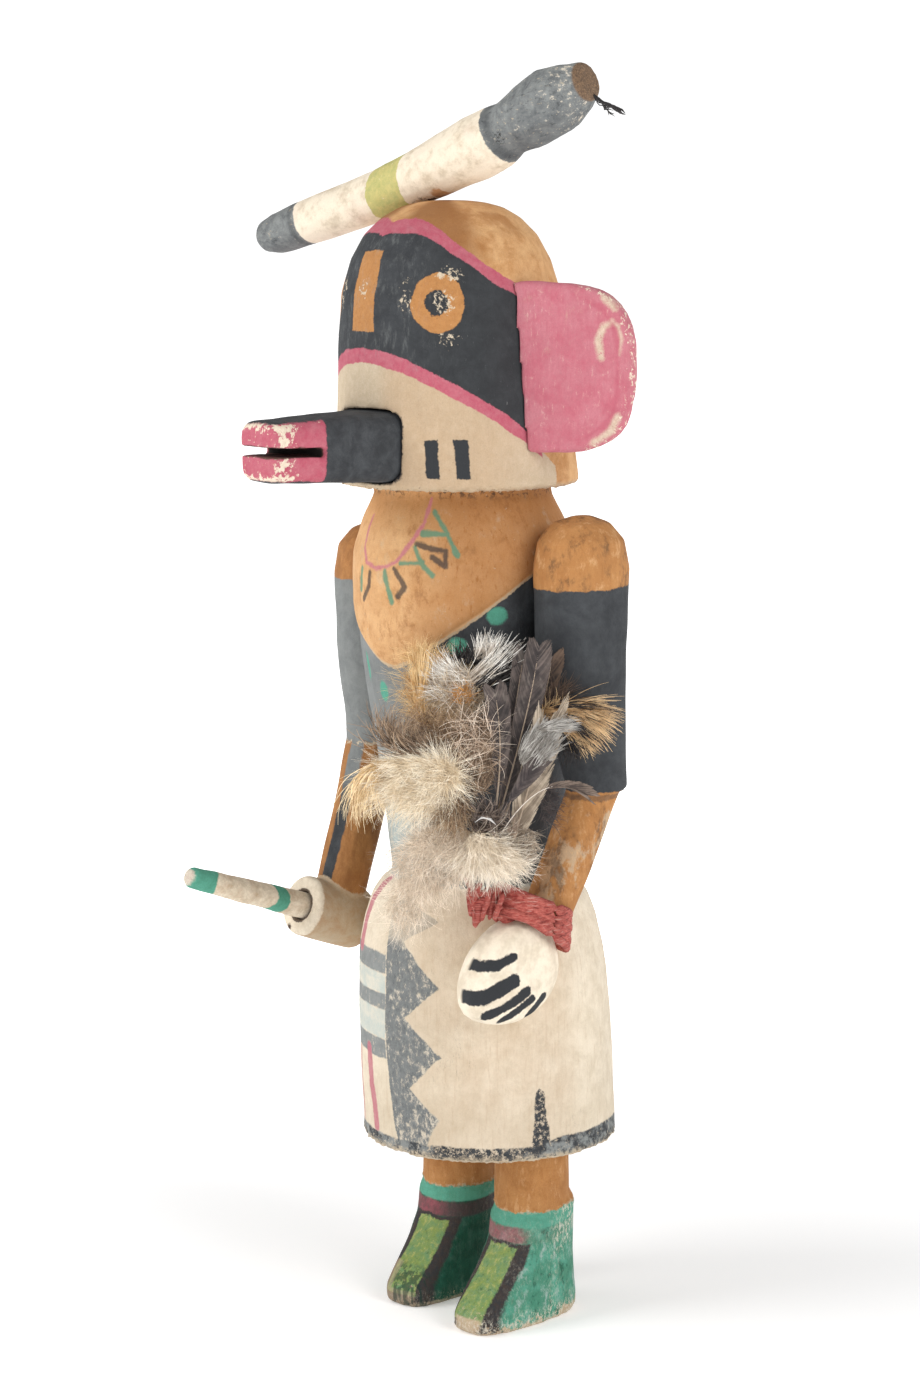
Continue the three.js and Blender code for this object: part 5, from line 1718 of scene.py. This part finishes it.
def build_light(name, place, size, watts):
    data = bpy.data.lights.new(name, "AREA")
    data.shape = "RECTANGLE"
    data.size, data.size_y = size
    data.energy = watts
    lamp = new_object(name, data)
    lamp.location = place
    lamp.rotation_euler = (Vector(LIT_SPOT) - Vector(place)).to_track_quat("-Z", "Y").to_euler()


def build_camera():
    sizes = bpy.context.scene.doll_sizes
    data = bpy.data.cameras.new("camera")
    data.sensor_fit = "VERTICAL"
    data.sensor_height = 36.0
    data.lens = sizes.lens
    camera = new_object("camera", data)
    bearing = sizes.round
    camera.location = AXIS + Vector((math.sin(bearing), -math.cos(bearing), 0)) * sizes.away
    camera.location.z = sizes.eye_height
    to_right = Vector((math.cos(bearing), math.sin(bearing), 0))
    target = AXIS - to_right * LOOK["aside"] + Vector((0, 0, LOOK["up"]))
    camera.rotation_euler = (target - camera.location).to_track_quat("-Z", "Y").to_euler()
    bpy.context.scene.camera = camera


def build_world():
    world = bpy.data.worlds.new("studio")
    world.use_nodes = True
    recipe = Recipe(world.node_tree)
    background = world.node_tree.nodes["Background"]
    background.inputs["Color"].default_value = (1, 1, 1, 1)
    seen = Value(recipe, recipe.add("ShaderNodeLightPath").outputs["Is Camera Ray"])
    recipe.feed(background.inputs["Strength"], seen * BACKDROP_LIGHT + ROOM_LIGHT)
    bpy.context.scene.world = world


# ---------- operators ----------


class DOLL_OT_stage(bpy.types.Operator):
    """Sets the floor, the soft studio lights and the camera"""

    bl_idname = "doll.stage"
    bl_label = "Stage"

    def execute(self, context):
        build_floor()
        build_world()
        build_light("window", (-0.55, -1.25, 0.95), (0.8, 0.8), 12.5)
        build_light("far window", (1.5, 0.1, 0.9), (0.7, 0.9), 10.5)
        build_camera()
        context.scene.view_settings.view_transform = "Standard"
        return {"FINISHED"}


class DOLL_OT_figure(bpy.types.Operator):
    """Carves and paints the mask, cape, trunk, kilt, legs and boots, which are one root"""

    bl_idname = "doll.figure"
    bl_label = "Figure"

    def execute(self, context):
        build_figure()
        return {"FINISHED"}


class DOLL_OT_ears(bpy.types.Operator):
    """Carves and paints the two ears"""

    bl_idname = "doll.ears"
    bl_label = "Ears"

    def execute(self, context):
        build_ears()
        return {"FINISHED"}


class DOLL_OT_snout(bpy.types.Operator):
    """Carves and paints the snout and its sawn mouth"""

    bl_idname = "doll.snout"
    bl_label = "Snout"

    def execute(self, context):
        build_snout()
        return {"FINISHED"}


class DOLL_OT_crown_bar(bpy.types.Operator):
    """Whittles and paints the bar over the crown, with its twist of thread"""

    bl_idname = "doll.crown_bar"
    bl_label = "Crown bar"

    def execute(self, context):
        build_crown_bar()
        return {"FINISHED"}


class DOLL_OT_arms(bpy.types.Operator):
    """Carves and paints the two arms"""

    bl_idname = "doll.arms"
    bl_label = "Arms"

    def execute(self, context):
        build_arms()
        return {"FINISHED"}


class DOLL_OT_wand(bpy.types.Operator):
    """Paints the wand in the right fist"""

    bl_idname = "doll.wand"
    bl_label = "Wand"

    def execute(self, context):
        build_wand()
        return {"FINISHED"}


class DOLL_OT_wrap(bpy.types.Operator):
    """Winds and knots the red strips round the left wrist"""

    bl_idname = "doll.wrap"
    bl_label = "Wrist wrap"

    def execute(self, context):
        build_wrap()
        return {"FINISHED"}


class DOLL_OT_feathers(bpy.types.Operator):
    """Lays the feathers and down that are tied to the left wrist"""

    bl_idname = "doll.feathers"
    bl_label = "Feathers"

    def execute(self, context):
        build_feathers()
        return {"FINISHED"}


OPERATORS = [
    DOLL_OT_stage,
    DOLL_OT_figure,
    DOLL_OT_ears,
    DOLL_OT_snout,
    DOLL_OT_crown_bar,
    DOLL_OT_arms,
    DOLL_OT_wand,
    DOLL_OT_wrap,
    DOLL_OT_feathers,
]


class DOLL_PT_panel(bpy.types.Panel):
    """Lists the doll's pieces"""

    bl_idname = "DOLL_PT_panel"
    bl_label = "Kachina doll"
    bl_space_type = "VIEW_3D"
    bl_region_type = "UI"
    bl_category = "Doll"

    def draw(self, context):
        for operator in OPERATORS:
            self.layout.operator(operator.bl_idname)
        for group in (context.scene.doll_sizes, context.scene.doll_paints):
            for name in group.bl_rna.properties.keys():
                if name not in ("rna_type", "name"):
                    self.layout.prop(group, name)


CLASSES = [DollPaints, DollSizes, *OPERATORS, DOLL_PT_panel]


def register():
    for cls in CLASSES:
        bpy.utils.register_class(cls)
    bpy.types.Scene.doll_paints = bpy.props.PointerProperty(type=DollPaints)
    bpy.types.Scene.doll_sizes = bpy.props.PointerProperty(type=DollSizes)


def unregister():
    del bpy.types.Scene.doll_sizes
    del bpy.types.Scene.doll_paints
    for cls in reversed(CLASSES):
        bpy.utils.unregister_class(cls)


def main():
    register()
    build_groups()
    bpy.ops.doll.stage()
    bpy.ops.doll.figure()
    bpy.ops.doll.ears()
    bpy.ops.doll.snout()
    bpy.ops.doll.crown_bar()
    bpy.ops.doll.arms()
    bpy.ops.doll.wand()
    bpy.ops.doll.wrap()
    bpy.ops.doll.feathers()


if __name__ == "__main__":
    main()
